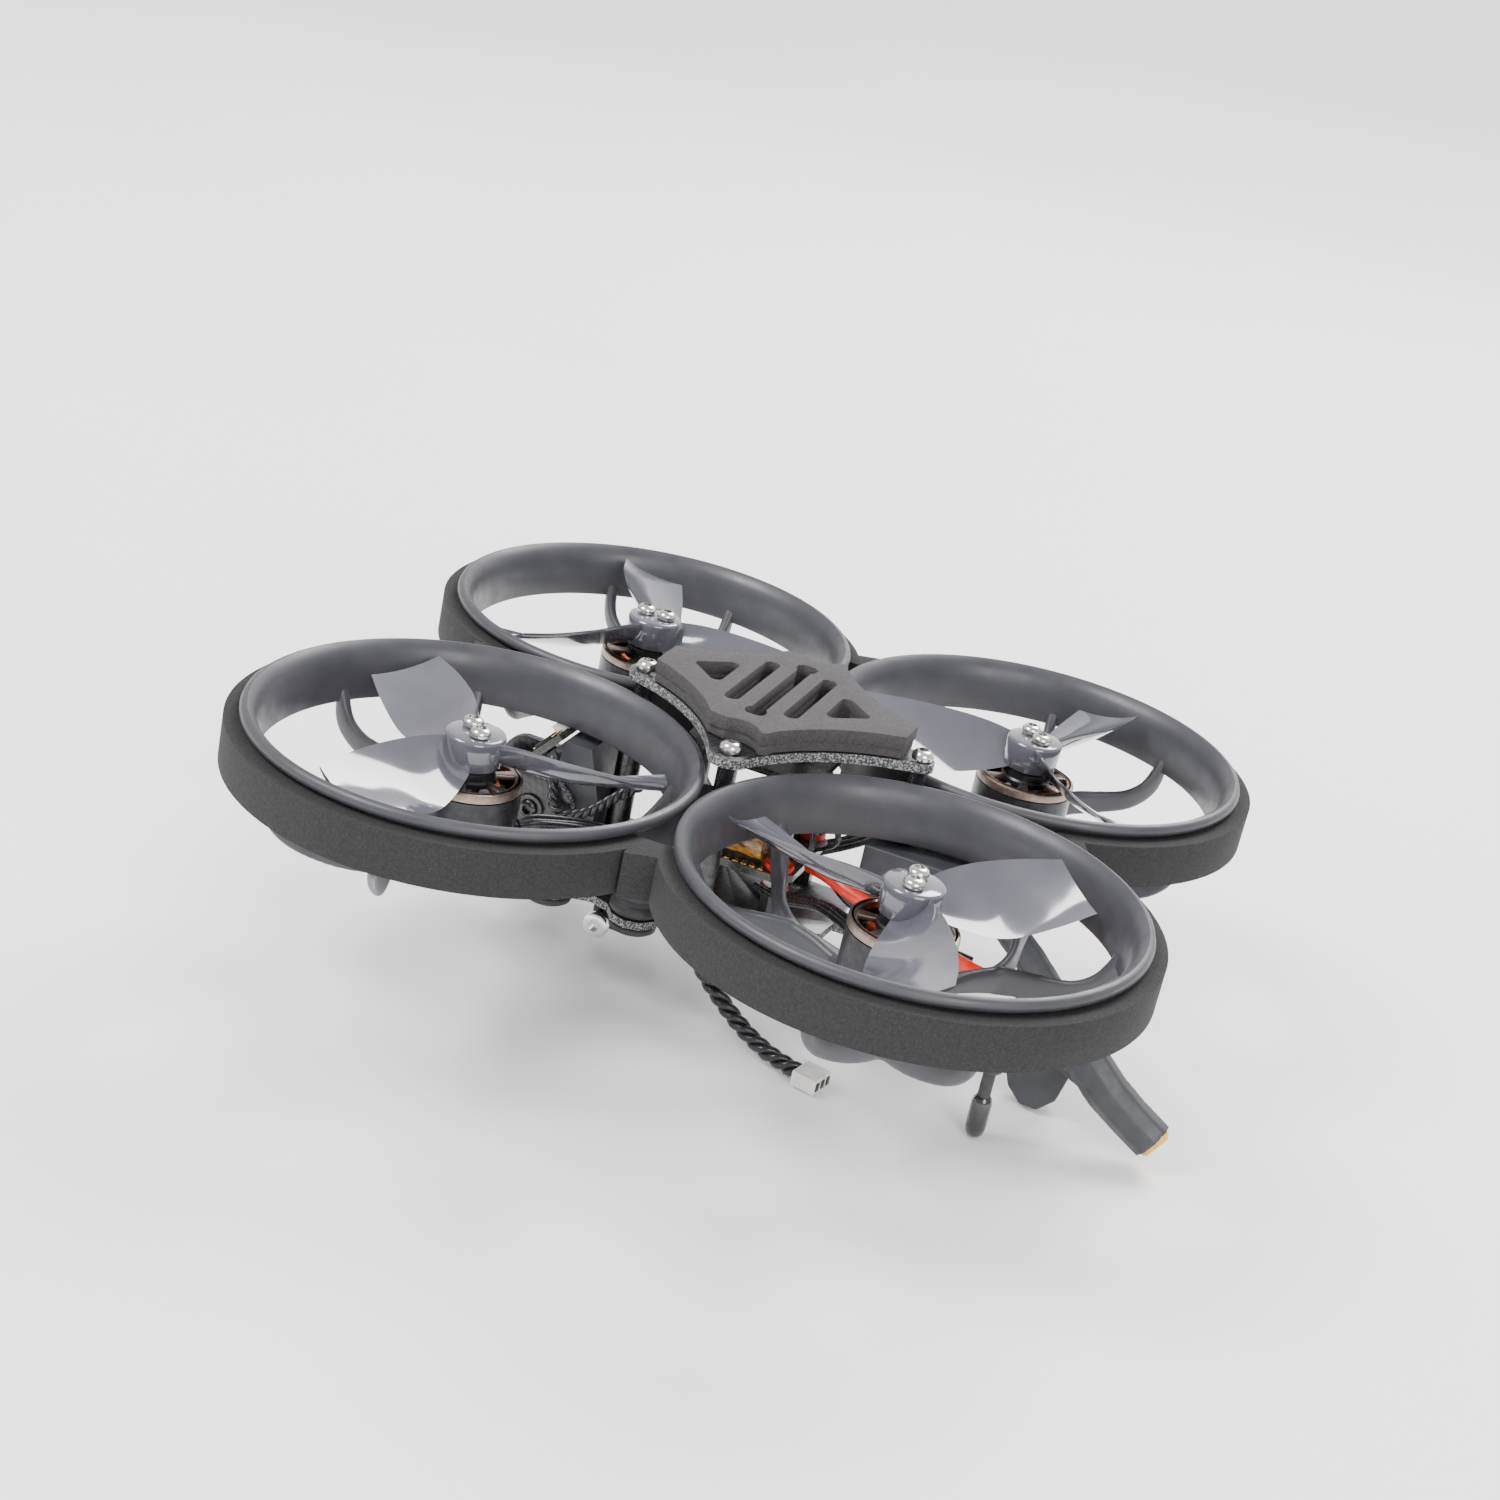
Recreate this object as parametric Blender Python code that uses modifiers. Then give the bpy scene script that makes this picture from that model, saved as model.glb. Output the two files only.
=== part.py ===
"""A small ducted quadcopter: four three-bladed rotors in plastic ducts, a foam bumper, a carbon frame
with a battery pad on top, and a camera pod below the front. The front is -Y, the left side +X.

Everything is placed from one empty, the airframe, at the middle of the four rotors: its z = 0 is the
level of the propeller screws. The object's own origin is on the surface it stands on, below the middle.
"""

import math

import bmesh
import bpy
from mathutils import Matrix, Vector

MM = 0.001
GAP = 0.3 * MM

# Driving sizes
MOTOR_OFFSET = 44.55 * MM  # from the middle to a motor's axis, in x and in y
PROP_RADIUS = 37.6 * MM
WALL_RADIUS = 42.3 * MM
WALL_BOTTOM = -11.8 * MM
BUMPER_RADIUS = 47.0 * MM
BUMPER_TOP = -3.0 * MM
BUMPER_FILLET = 3.0 * MM
PLATE_ARC = 43.9 * MM  # the top plate's edges run round the ducts at this radius

# The frame: four posts, at the plate's four ears
SIDE_EAR_X = 26.6 * MM
FRONT_EAR_Y = -28.8 * MM
REAR_EAR_Y = 31.0 * MM
PLATE_BOTTOM = 2.0 * MM
PLATE_TOP = 4.0 * MM
PAD_TOP = 9.0 * MM
TRAY_TOP = -34.6 * MM
TRAY_BOTTOM = -36.4 * MM
LUG_TOP = -4.9 * MM
LUG_THICKNESS = 1.9 * MM
POST_RADIUS = 1.75 * MM
POST_NECK = 1.4 * MM
POST_FOOT = 2.6 * MM
SCREW_SHANK = 0.95 * MM
SCREW_HOLE = 1.25 * MM

# Motors and propellers
BELL_RADIUS = 10.5 * MM
BELL_TOP = -9.6 * MM
BELL_BOTTOM = -19.9 * MM
BELL_ROOF = -10.6 * MM
SHAFT_END = -19.6 * MM
HUB_TOP = -1.0 * MM
HUB_BOTTOM = -7.4 * MM
HUB_RADIUS = 6.05 * MM
SHAFT_RADIUS = 1.0 * MM
PROP_SCREW_SPACING = 5.0 * MM
PROP_SCREW_END = -9.6 * MM
MOUNT_TOP = -21.3 * MM
MOUNT_BOTTOM = -24.2 * MM
MOUNT_RADIUS = 12.4 * MM

# Duct struts: three arms, each forking into two branches that climb to the wall
ARM_ANGLES = (15, 135, 255)
FORK_HALF_ANGLE = 20.5

# The camera pod
CAMERA_PLATE_TOP = -42.6 * MM
CAMERA_PLATE_BOTTOM = -44.4 * MM
DAMPER_X = 12.0 * MM
DAMPER_YS = (-17.2 * MM, -36.6 * MM)
DAMPER_RADIUS = 5.4 * MM
DAMPER_STUB = 2.4 * MM
SIDE_PLATE_INNER = 7.6 * MM
SIDE_PLATE_THICKNESS = 2.0 * MM
PIVOT_Y = -44.8 * MM
PIVOT_Z = -29.4 * MM
CROSS_BOLT_Y = -25.0 * MM
CROSS_BOLT_Z = -48.9 * MM

# The rear mount and what it holds
ARM_END = Vector((6.0, 95.8, -55.4)) * MM
ANTENNA_X = 18.0 * MM
ANTENNA_Y = 62.8 * MM
ANTENNA_TIP_Z = -61.3 * MM
FLOOR_DROP = -ANTENNA_TIP_Z  # from the rotors' level down to the surface

# Bounding box, which sets where the middle of the base is
FRONT_Y = -(MOTOR_OFFSET + BUMPER_RADIUS)
REAR_Y = 98.23 * MM
BASE_MIDDLE_Y = (FRONT_Y + REAR_Y) / 2

# name: (x side, y side, first blade's angle, screw line's angle, turns counter-clockwise)
ROTORS = {
    "front_left": (1, -1, -10, 43, False),
    "front_right": (-1, -1, 82, 87, True),
    "rear_left": (1, 1, 16, 8, True),
    "rear_right": (-1, 1, 47, 40, False),
}


# Scene and helpers


def clear_scene():
    for obj in list(bpy.data.objects):
        bpy.data.objects.remove(obj, do_unlink=True)


def new_collection(name):
    collection = bpy.data.collections.new(name)
    bpy.context.scene.collection.children.link(collection)
    return collection


def new_material(name, colour, roughness, metallic=0.0):
    material = bpy.data.materials.new(name)
    material.use_nodes = True
    shader = material.node_tree.nodes["Principled BSDF"]
    shader.inputs["Base Color"].default_value = (*colour, 1.0)
    shader.inputs["Roughness"].default_value = roughness
    shader.inputs["Metallic"].default_value = metallic
    return material


def helper_object(data):
    """An object that exists only until its shape has been read."""
    obj = bpy.data.objects.new("helper", data)
    helpers.objects.link(obj)
    return obj


def baked(obj):
    """The object's shape with its modifiers, as a mesh of its own. The object is removed."""
    bpy.context.view_layer.update()
    graph = bpy.context.evaluated_depsgraph_get()
    mesh = bpy.data.meshes.new_from_object(obj.evaluated_get(graph))
    bpy.data.objects.remove(obj, do_unlink=True)
    shape = bmesh.new()
    shape.from_mesh(mesh)
    bmesh.ops.remove_doubles(shape, verts=shape.verts, dist=0.002 * MM)
    shape.to_mesh(mesh)
    shape.free()
    return mesh


def combined(base, others, operation="UNION"):
    """base joined with, or cut by, each of the other meshes."""
    obj = helper_object(base)
    tools = [helper_object(other) for other in others]
    for tool in tools:
        step = obj.modifiers.new("combine", "BOOLEAN")
        step.operation = operation
        step.object = tool
    mesh = baked(obj)
    for tool in tools:
        bpy.data.objects.remove(tool, do_unlink=True)
    return mesh


def mesh_of(shape):
    mesh = bpy.data.meshes.new("shape")
    bmesh.ops.recalc_face_normals(shape, faces=shape.faces)
    shape.to_mesh(mesh)
    shape.free()
    return mesh


def moved(mesh, offset=(0, 0, 0), turn=0.0, axis="Z"):
    """The mesh turned by an angle in degrees about one of its own axes, then shifted."""
    shape = bmesh.new()
    shape.from_mesh(mesh)
    matrix = Matrix.Translation(Vector(offset)) @ Matrix.Rotation(math.radians(turn), 4, axis)
    bmesh.ops.transform(shape, matrix=matrix, verts=shape.verts)
    shape.to_mesh(mesh)
    shape.free()
    return mesh


def block(low, high):
    """A box between two corners."""
    shape = bmesh.new()
    bmesh.ops.create_cube(shape, size=1.0)
    for vert in shape.verts:
        vert.co = Vector(
            (high[i] if vert.co[i] > 0 else low[i]) for i in range(3)
        )
    return mesh_of(shape)


def cylinder(radius, bottom, top, steps=24):
    """A round rod along z."""
    shape = bmesh.new()
    bmesh.ops.create_cone(
        shape, cap_ends=True, segments=steps, radius1=radius, radius2=radius, depth=top - bottom
    )
    bmesh.ops.translate(shape, vec=(0, 0, (top + bottom) / 2), verts=shape.verts)
    return mesh_of(shape)


def turned(profile, steps):
    """A profile of (radius, height) points, down its outer side and back up, turned about z."""
    mesh = bpy.data.meshes.new("profile")
    points = [(radius, 0, height) for radius, height in profile]
    on_axis = profile[0][0] == 0 and profile[-1][0] == 0
    edges = [(i, i + 1) for i in range(len(points) - 1)]
    if not on_axis:
        edges.append((len(points) - 1, 0))
    mesh.from_pydata(points, edges, [])
    obj = helper_object(mesh)
    screw = obj.modifiers.new("turn", "SCREW")
    screw.axis = "Z"
    screw.steps = steps
    screw.render_steps = steps
    screw.use_merge_vertices = True
    screw.merge_threshold = 0.00001
    return baked(obj)


def flat(outlines, bottom, top, axis="Z"):
    """A plate with the given outlines, the later ones being holes in the first. axis is the way its
    thickness runs: along Z the outlines are (x, y) points, along X they are (y, z) points."""
    curve = bpy.data.curves.new("outline", "CURVE")
    curve.dimensions = "2D"
    curve.fill_mode = "BOTH"
    curve.extrude = (top - bottom) / 2
    for outline in outlines:
        spline = curve.splines.new("POLY")
        spline.points.add(len(outline) - 1)
        for point, (u, v) in zip(spline.points, outline):
            point.co = (u, v, 0, 1)
        spline.use_cyclic_u = True
    mesh = baked(helper_object(curve))
    if axis == "X":
        for vert in mesh.vertices:
            vert.co = (vert.co.z + (top + bottom) / 2, vert.co.x, vert.co.y)
        return mesh
    return moved(mesh, (0, 0, (top + bottom) / 2))


def swept(sections):
    """A closed skin through a row of rings of points."""
    shape = bmesh.new()
    rings = [[shape.verts.new(point) for point in ring] for ring in sections]
    count = len(rings[0])
    for first, second in zip(rings, rings[1:]):
        for i in range(count):
            j = (i + 1) % count
            shape.faces.new((first[i], first[j], second[j], second[i]))
    shape.faces.new(rings[0])
    shape.faces.new(rings[-1])
    return mesh_of(shape)


def ring_section(centre, across, up, half_width, half_height, steps=6):
    """Points of an oval about a centre."""
    turn = 2 * math.pi / steps
    return [
        centre
        + across * half_width * math.cos(i * turn)
        + up * half_height * math.sin(i * turn)
        for i in range(steps)
    ]


def tube_mesh(points, radius):
    """A round wire along the given points."""
    curve = wire_curve(points, radius, 2)
    return baked(helper_object(curve))


def wire_curve(points, radius, resolution):
    curve = bpy.data.curves.new("wire", "CURVE")
    curve.dimensions = "3D"
    curve.bevel_depth = radius
    curve.bevel_resolution = resolution
    curve.use_fill_caps = True
    spline = curve.splines.new("POLY")
    spline.points.add(len(points) - 1)
    for point, place in zip(spline.points, points):
        point.co = (*place, 1)
    return curve


def smooth_route(points, spacing):
    """Evenly spaced points on a smooth curve through the given ones."""
    ends = [2 * points[0] - points[1], *points, 2 * points[-1] - points[-2]]
    fine = []
    for a, b, c, d in zip(ends, ends[1:], ends[2:], ends[3:]):
        for step in range(20):
            t = step / 20
            fine.append(
                0.5
                * (2 * b + (c - a) * t + (2 * a - 5 * b + 4 * c - d) * t**2 + (3 * b - a - 3 * c + d) * t**3)
            )
    fine.append(points[-1])
    lengths = [0.0]
    for a, b in zip(fine, fine[1:]):
        lengths.append(lengths[-1] + (b - a).length)
    count = max(2, round(lengths[-1] / spacing) + 1)
    route = []
    k = 0
    for i in range(count):
        goal = lengths[-1] * i / (count - 1)
        while k < len(fine) - 2 and lengths[k + 1] < goal:
            k += 1
        share = (goal - lengths[k]) / (lengths[k + 1] - lengths[k])
        route.append(fine[k].lerp(fine[k + 1], min(1.0, share)))
    return route


def add_part(name, data, material, location=(0, 0, 0), parent=None, turn=0.0):
    """Puts a finished mesh or curve into the model as one named piece."""
    obj = bpy.data.objects.new(name, data)
    obj.parent = parent or airframe
    obj.location = location
    obj.rotation_euler.z = math.radians(turn)
    parts.objects.link(obj)
    data.materials.clear()
    data.materials.append(material)
    if obj.type == "MESH":
        data.shade_smooth()
        data.set_sharp_from_angle(angle=math.radians(35))
    return obj


def arc(centre, radius, start, end, steps):
    """Points on an arc, angles in degrees, both ends included."""
    return [
        (
            centre[0] + radius * math.cos(math.radians(start + (end - start) * i / steps)),
            centre[1] + radius * math.sin(math.radians(start + (end - start) * i / steps)),
        )
        for i in range(steps + 1)
    ]


def circle(centre, radius, steps=16):
    return arc(centre, radius, 0, 360, steps)[:-1]


def mirrored_x(points):
    return [(-x, y) for x, y in reversed(points)]


def angle_to(start, end):
    return math.degrees(math.atan2(end[1] - start[1], end[0] - start[0]))


def duct_centre(x_side, y_side):
    return (x_side * MOTOR_OFFSET, y_side * MOTOR_OFFSET)


# Ducts


def duct_ring():
    """The rolled lip and the short wall under it."""
    profile = [
        (42.9, 0.0), (44.1, -0.5), (44.3, -1.9), (42.3, -2.6), (42.3, -11.8), (40.1, -11.8), (40.1, -6.0),
        (41.0, -2.0),
    ]
    return turned([(radius * MM, height * MM) for radius, height in profile], 40)


def strut_section(radius, angle, height, lean, half_width, half_height):
    """One ring of a strut. lean is the way the strut runs there, in degrees below the outward level."""
    a = math.radians(angle)
    outward = Vector((math.cos(a), math.sin(a), 0))
    across = Vector((-math.sin(a), math.cos(a), 0))
    slope = math.radians(lean)
    up = outward * math.sin(slope) + Vector((0, 0, math.cos(slope)))
    centre = outward * radius * MM + Vector((0, 0, height * MM))
    return ring_section(centre, across, up, half_width * MM, half_height * MM)


def fork_branch(arm_angle, side):
    """From the end of an arm out to the wall, and up along it."""
    # radius, height, lean, half width, half height, share of the fork's angle
    stations = [
        (22.4, -22.2, 0, 1.3, 3.1, 0.0), (29.0, -21.3, 8, 1.3, 2.8, 0.45), (34.0, -19.8, 22, 1.3, 2.6, 0.80),
        (37.4, -17.4, 45, 1.3, 2.5, 0.95), (39.6, -14.2, 68, 1.3, 2.1, 1.0), (41.2, -8.4, 85, 1.6, 0.7, 1.0),
    ]
    return swept(
        [
            strut_section(radius, arm_angle + side * FORK_HALF_ANGLE * share, height, -lean, width, tall)
            for radius, height, lean, width, tall, share in stations
        ]
    )


def strut_arm(arm_angle):
    """From the motor mount to the fork."""
    # radius, height, lean, half width, half height
    stations = [
        (9.0, -22.7, 0, 2.4, 1.4), (13.0, -22.6, 0, 2.0, 1.8), (18.0, -22.3, 0, 1.5, 2.4), (24.2, -22.2, 0, 1.5, 2.9),
    ]
    return swept([strut_section(r, arm_angle, z, lean, width, tall) for r, z, lean, width, tall in stations])


def duct_body():
    """One duct without its lugs, for the rear left corner. The others are its mirror images."""
    mount = turned(
        [
            (MOUNT_RADIUS, MOUNT_TOP), (MOUNT_RADIUS, MOUNT_BOTTOM),
            (3.0 * MM, MOUNT_BOTTOM), (3.0 * MM, MOUNT_TOP),
        ],
        20,
    )
    struts = [strut_arm(angle) for angle in ARM_ANGLES]
    for angle in ARM_ANGLES:
        struts += [fork_branch(angle, -1), fork_branch(angle, 1)]
    return combined(duct_ring(), [mount, *struts])


def lug(centre, post, upper):
    """A ring round a post, on a tab that grows from the duct's wall."""
    top = LUG_TOP if upper else LUG_TOP - LUG_THICKNESS - GAP
    angle = angle_to(centre, post)
    distance = math.dist(centre, post)
    tab = [(WALL_RADIUS - 1.1 * MM, -3.2 * MM), *arc((distance, 0), 3.5 * MM, -80, 80, 7), (WALL_RADIUS - 1.1 * MM, 3.2 * MM)]
    hole = circle((distance, 0), POST_NECK + GAP, 12)
    return moved(flat([tab, hole], top - LUG_THICKNESS, top), turn=angle)


def add_ducts(material):
    body = duct_body()
    for name, (x_side, y_side, *_) in ROTORS.items():
        centre = duct_centre(x_side, y_side)
        mesh = body.copy()
        shape = bmesh.new()
        shape.from_mesh(mesh)
        bmesh.ops.scale(shape, vec=(x_side, y_side, 1), verts=shape.verts)
        if x_side * y_side < 0:
            bmesh.ops.reverse_faces(shape, faces=shape.faces)
        shape.to_mesh(mesh)
        shape.free()
        end_post = (0, FRONT_EAR_Y if y_side < 0 else REAR_EAR_Y)
        side_lug = lug(centre, (x_side * SIDE_EAR_X, 0), y_side < 0)
        end_lug = lug(centre, end_post, x_side > 0)
        add_part(f"duct_{name}", combined(mesh, [side_lug, end_lug]), material, (*centre, 0))


# Bumper


def bumper_outline():
    """The outer edge: an arc round each duct, and a small hollow where two ducts meet."""
    reach = math.sqrt((BUMPER_RADIUS + BUMPER_FILLET) ** 2 - MOTOR_OFFSET**2)
    hollow = MOTOR_OFFSET + reach
    start = angle_to((MOTOR_OFFSET, MOTOR_OFFSET), (hollow, 0))
    end = 90 - start
    points = []
    for quarter in range(4):
        turn = 90 * quarter
        c, s = round(math.cos(math.radians(turn))), round(math.sin(math.radians(turn)))
        centre = (MOTOR_OFFSET * (c - s), MOTOR_OFFSET * (s + c))
        points += arc(centre, BUMPER_RADIUS, start + turn, end + turn, 24)
        web = (-hollow * s, hollow * c)
        points += arc(web, BUMPER_FILLET, turn + end - 180, turn + 180 - end, 4)[1:-1]
    return points


def bumper_inside():
    """The inner edge, round the ducts' walls."""
    radius = WALL_RADIUS + 2 * GAP
    crossing = 60.0 * MM
    start = -math.degrees(math.acos((crossing - MOTOR_OFFSET) / radius))
    points = []
    for quarter in range(4):
        turn = 90 * quarter
        c, s = round(math.cos(math.radians(turn))), round(math.sin(math.radians(turn)))
        centre = (MOTOR_OFFSET * (c - s), MOTOR_OFFSET * (s + c))
        points += arc(centre, radius, start + turn, 90 - start + turn, 24)
    return points


def add_bumper(material):
    mesh = flat([bumper_outline(), bumper_inside()], WALL_BOTTOM, BUMPER_TOP)
    add_part("foam_bumper", mesh, material)


# Frame


def plate_outline():
    """A diamond whose edges run round the ducts and whose four tips are round."""
    centre = (MOTOR_OFFSET, MOTOR_OFFSET)
    tips = ((SIDE_EAR_X, 0), (0, REAR_EAR_Y), (-SIDE_EAR_X, 0), (0, FRONT_EAR_Y))
    sides = ((1, 1), (-1, 1), (-1, -1), (1, -1))
    points = []
    for k in range(4):
        tip, after = tips[k], tips[(k + 1) % 4]
        centre = duct_centre(*sides[k])
        start, end = angle_to(centre, tip) % 360, angle_to(centre, after) % 360
        if end > start:
            end -= 360
        points += arc(centre, PLATE_ARC, start, end, 8)
        centre_after = duct_centre(*sides[(k + 1) % 4])
        cap = math.dist(after, centre) - PLATE_ARC
        first = angle_to(after, centre) % 360
        last = angle_to(after, centre_after) % 360
        if last < first:
            last += 360
        points += arc(after, cap, first, last, 6)[1:-1]
    return points


def strap_slot():
    """The middle slot, wider at both ends."""
    right = [(13.2, 1.5), (14.4, 2.2), (16.2, 2.2), (17.2, 1.2), (17.2, -1.2), (16.2, -2.2), (14.4, -2.2), (13.2, -1.5)]
    outline = right + [(-x, -y) for x, y in right]
    return [(x * MM, y * MM) for x, y in outline]


def long_slot(y):
    half = 13.2 * MM
    radius = 1.6 * MM
    right = arc((half - radius, y * MM), radius, -90, 90, 4)
    return right + [(-x, 2 * y * MM - v) for x, v in right]


def corner_hole(y_side):
    """A rounded triangle pointing to the front or to the rear."""
    corners = arc((4.7, 12.6), 1.4, -90, 30, 4) + arc((0, 17.4), 1.4, 30, 150, 4) + arc((-4.7, 12.6), 1.4, 150, 270, 4)
    return [(x * MM, y_side * y * MM) for x, y in corners]


def pad_slots():
    return [strap_slot(), long_slot(-6.4), long_slot(6.2), corner_hole(1), corner_hole(-1)]


def pad_outline():
    """As the plate, but cut back round the four screws."""
    centre_rear = (MOTOR_OFFSET, MOTOR_OFFSET)
    centre_front = (MOTOR_OFFSET, -MOTOR_OFFSET)
    front_y, rear_y = -25.3 * MM, 27.9 * MM
    notch = 4.9 * MM

    def arc_x(y, y_side):
        return MOTOR_OFFSET - math.sqrt(PLATE_ARC**2 - (y - y_side * MOTOR_OFFSET) ** 2)

    corner_y, lobe_y = -6.8 * MM, 6.6 * MM
    front_tip = (arc_x(front_y, -1), front_y)
    corner = (arc_x(corner_y, -1), corner_y)
    lobe = (arc_x(lobe_y, 1), lobe_y)
    rear_tip = (arc_x(rear_y, 1), rear_y)
    half = arc(centre_front, PLATE_ARC, angle_to(centre_front, front_tip), angle_to(centre_front, corner), 7)
    half += arc((SIDE_EAR_X, 0), notch, 218, 118, 5)
    half += [(24.9 * MM, 4.9 * MM), (24.0 * MM, 6.2 * MM)]
    start = angle_to(centre_rear, lobe) % 360
    end = angle_to(centre_rear, rear_tip) % 360
    half += arc(centre_rear, PLATE_ARC, start, end, 7)
    return half + mirrored_x(half)


def button_screw(shank_bottom, head_bottom, head_radius, head_height, steps=12):
    """A round-headed screw, head up."""
    top = head_bottom + head_height
    return turned(
        [
            (0, top), (0.6 * head_radius, top), (head_radius, head_bottom + 0.3 * head_height),
            (head_radius, head_bottom), (SCREW_SHANK, head_bottom), (SCREW_SHANK, shank_bottom), (0, shank_bottom),
        ],
        steps,
    )


def frame_post():
    """A knurled upper length, a neck where the ducts' lugs sit, and a thicker lower length."""
    neck_top = LUG_TOP + GAP
    neck_bottom = LUG_TOP - 2 * LUG_THICKNESS - 2 * GAP
    top = PLATE_BOTTOM - GAP
    bore_bottom = neck_top + 0.6 * MM
    bottom = TRAY_TOP + GAP
    return turned(
        [
            (SCREW_HOLE, top), (POST_RADIUS, top), (POST_RADIUS, neck_top), (POST_NECK, neck_top),
            (POST_NECK, neck_bottom), (POST_FOOT, neck_bottom), (POST_FOOT, bottom), (0, bottom),
            (0, bore_bottom), (SCREW_HOLE, bore_bottom),
        ],
        14,
    )


def add_frame(carbon, pad, steel, black_metal):
    ears = {
        "front": (0, FRONT_EAR_Y), "rear": (0, REAR_EAR_Y), "left": (SIDE_EAR_X, 0), "right": (-SIDE_EAR_X, 0),
    }
    holes = [circle(ear, SCREW_HOLE, 10) for ear in ears.values()]
    add_part("top_plate", flat([plate_outline(), *holes, *pad_slots()], PLATE_BOTTOM, PLATE_TOP), carbon)
    add_part("battery_pad", flat([pad_outline(), *pad_slots()], PLATE_TOP + GAP, PAD_TOP), pad)
    post = frame_post()
    screw = button_screw(LUG_TOP + 1.6 * MM, PLATE_TOP + GAP, 2.2 * MM, 1.9 * MM)
    for name, ear in ears.items():
        add_part(f"post_{name}", post, black_metal, (*ear, 0))
        add_part(f"frame_screw_{name}", screw, steel, (*ear, 0))
    add_part("bottom_plate", flat([tray_outline(), *damper_holes()], TRAY_BOTTOM, TRAY_TOP), carbon)


def damper_holes():
    return [circle((side * DAMPER_X, y), DAMPER_STUB + GAP, 10) for side in (-1, 1) for y in DAMPER_YS]


def tray_outline():
    """A slim plate under the stack, with a tongue to each post and an ear over each damper."""
    half = [
        (0, -38.4), (8.0, -38.4), (8.0, -41.8), (12.0, -42.4), (16.0, -40.8), (17.6, -36.6), (16.6, -33.2), (12.4, -30.4),
        (12.4, -23.4), (16.6, -20.6), (17.6, -17.2), (16.6, -13.8), (12.4, -11.0), (12.4, -4.4), (27.0, -4.2),
        (30.0, -3.0), (31.0, 0.0), (30.0, 3.0), (27.0, 4.2), (12.4, 4.4), (12.0, 19.0), (10.0, 21.5), (3.4, 22.0),
        (3.4, 31.0), (2.4, 33.8), (0, 34.8),
    ]
    right = [(x * MM, y * MM) for x, y in half]
    return right + mirrored_x(right)[1:-1]


# Motors and propellers


def stator_mesh():
    """The fixed half of a motor: a base, the wound stator and the bearing tube, open at the top."""
    profile = [
        (1.4, -11.0), (2.6, -11.0), (2.6, -12.6), (8.9, -12.6), (8.9, -18.0), (4.6, -18.0), (4.6, -20.2),
        (9.8, -20.2), (9.8, -21.0), (0, -21.0), (0, -20.0), (1.4, -20.0),
    ]
    return turned([(radius * MM, height * MM) for radius, height in profile], 18)


def bell_mesh():
    """The turning half: a cup, upside down, with the shaft that stands in the bearing tube."""
    cup = turned(
        [
            (0, HUB_BOTTOM - GAP), (5.0 * MM, HUB_BOTTOM - GAP), (5.0 * MM, BELL_TOP), (BELL_RADIUS, BELL_TOP),
            (BELL_RADIUS, BELL_BOTTOM), (9.4 * MM, BELL_BOTTOM), (9.4 * MM, BELL_ROOF), (SHAFT_RADIUS, BELL_ROOF),
            (SHAFT_RADIUS, SHAFT_END), (0, SHAFT_END),
        ],
        24,
    )
    return combined(cup, screw_holes(PROP_SCREW_END - GAP, 0), "DIFFERENCE")


def screw_holes(bottom, top):
    offset = PROP_SCREW_SPACING / 2
    return [moved(cylinder(SCREW_HOLE, bottom, top, 10), (side * offset, 0, 0)) for side in (-1, 1)]


def blade(angle):
    """A wide, twisted, cupped blade with a square end. Its higher edge leads, counter-clockwise."""
    # share of the radius, chord, pitch in degrees, sweep, middle height
    stations = [
        (0.10, 7.0, 46, 0.0, -4.4), (0.30, 12.4, 39, 0.0, -5.0), (0.52, 16.2, 33, 0.3, -5.7),
        (0.78, 16.4, 23, 0.6, -4.8), (1.0, 14.6, 16, 0.6, -3.6),
    ]
    sections = []
    for share, chord, pitch, sweep, height in stations:
        radius = share * PROP_RADIUS
        p = math.radians(pitch)
        along = Vector((0, math.cos(p), math.sin(p)))
        normal = Vector((0, -math.sin(p), math.cos(p)))
        ring = []
        for across in (-1, 0, 1):
            ring.append(_blade_point(radius, chord, sweep, height, along, normal, across, 0.45))
        for across in (1, 0, -1):
            ring.append(_blade_point(radius, chord, sweep, height, along, normal, across, -0.45))
        sections.append(ring)
    return moved(swept(sections), turn=angle)


def _blade_point(radius, chord, sweep, height, along, normal, across, side):
    """across runs from -1 at the lower edge to 1 at the higher; side picks the face."""
    y = sweep + across * chord / 2
    cup = -0.9 * (1 - across**2)
    thickness = side * (1.15 - 0.75 * across**2)
    offset = along * y * MM + normal * (cup + thickness) * MM
    x = math.sqrt(max(radius**2 - offset.y**2, (0.6 * radius) ** 2))
    return Vector((x, offset.y, height * MM + offset.z))


def prop_mesh(phase):
    """Three blades on a hub, with holes for two screws. phase is the first blade's angle from the screws."""
    hub = turned(
        [
            (0, HUB_TOP), (HUB_RADIUS - 0.3 * MM, HUB_TOP), (HUB_RADIUS, HUB_TOP - 0.4 * MM),
            (HUB_RADIUS - 0.4 * MM, HUB_BOTTOM), (0, HUB_BOTTOM),
        ],
        20,
    )
    joined = combined(hub, [blade(phase + 120 * k) for k in range(3)])
    return combined(joined, screw_holes(HUB_BOTTOM - MM, MM), "DIFFERENCE")


def mirrored_mesh(mesh):
    copy = mesh.copy()
    shape = bmesh.new()
    shape.from_mesh(copy)
    bmesh.ops.scale(shape, vec=(1, -1, 1), verts=shape.verts)
    bmesh.ops.reverse_faces(shape, faces=shape.faces)
    shape.to_mesh(copy)
    shape.free()
    return copy


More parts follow.
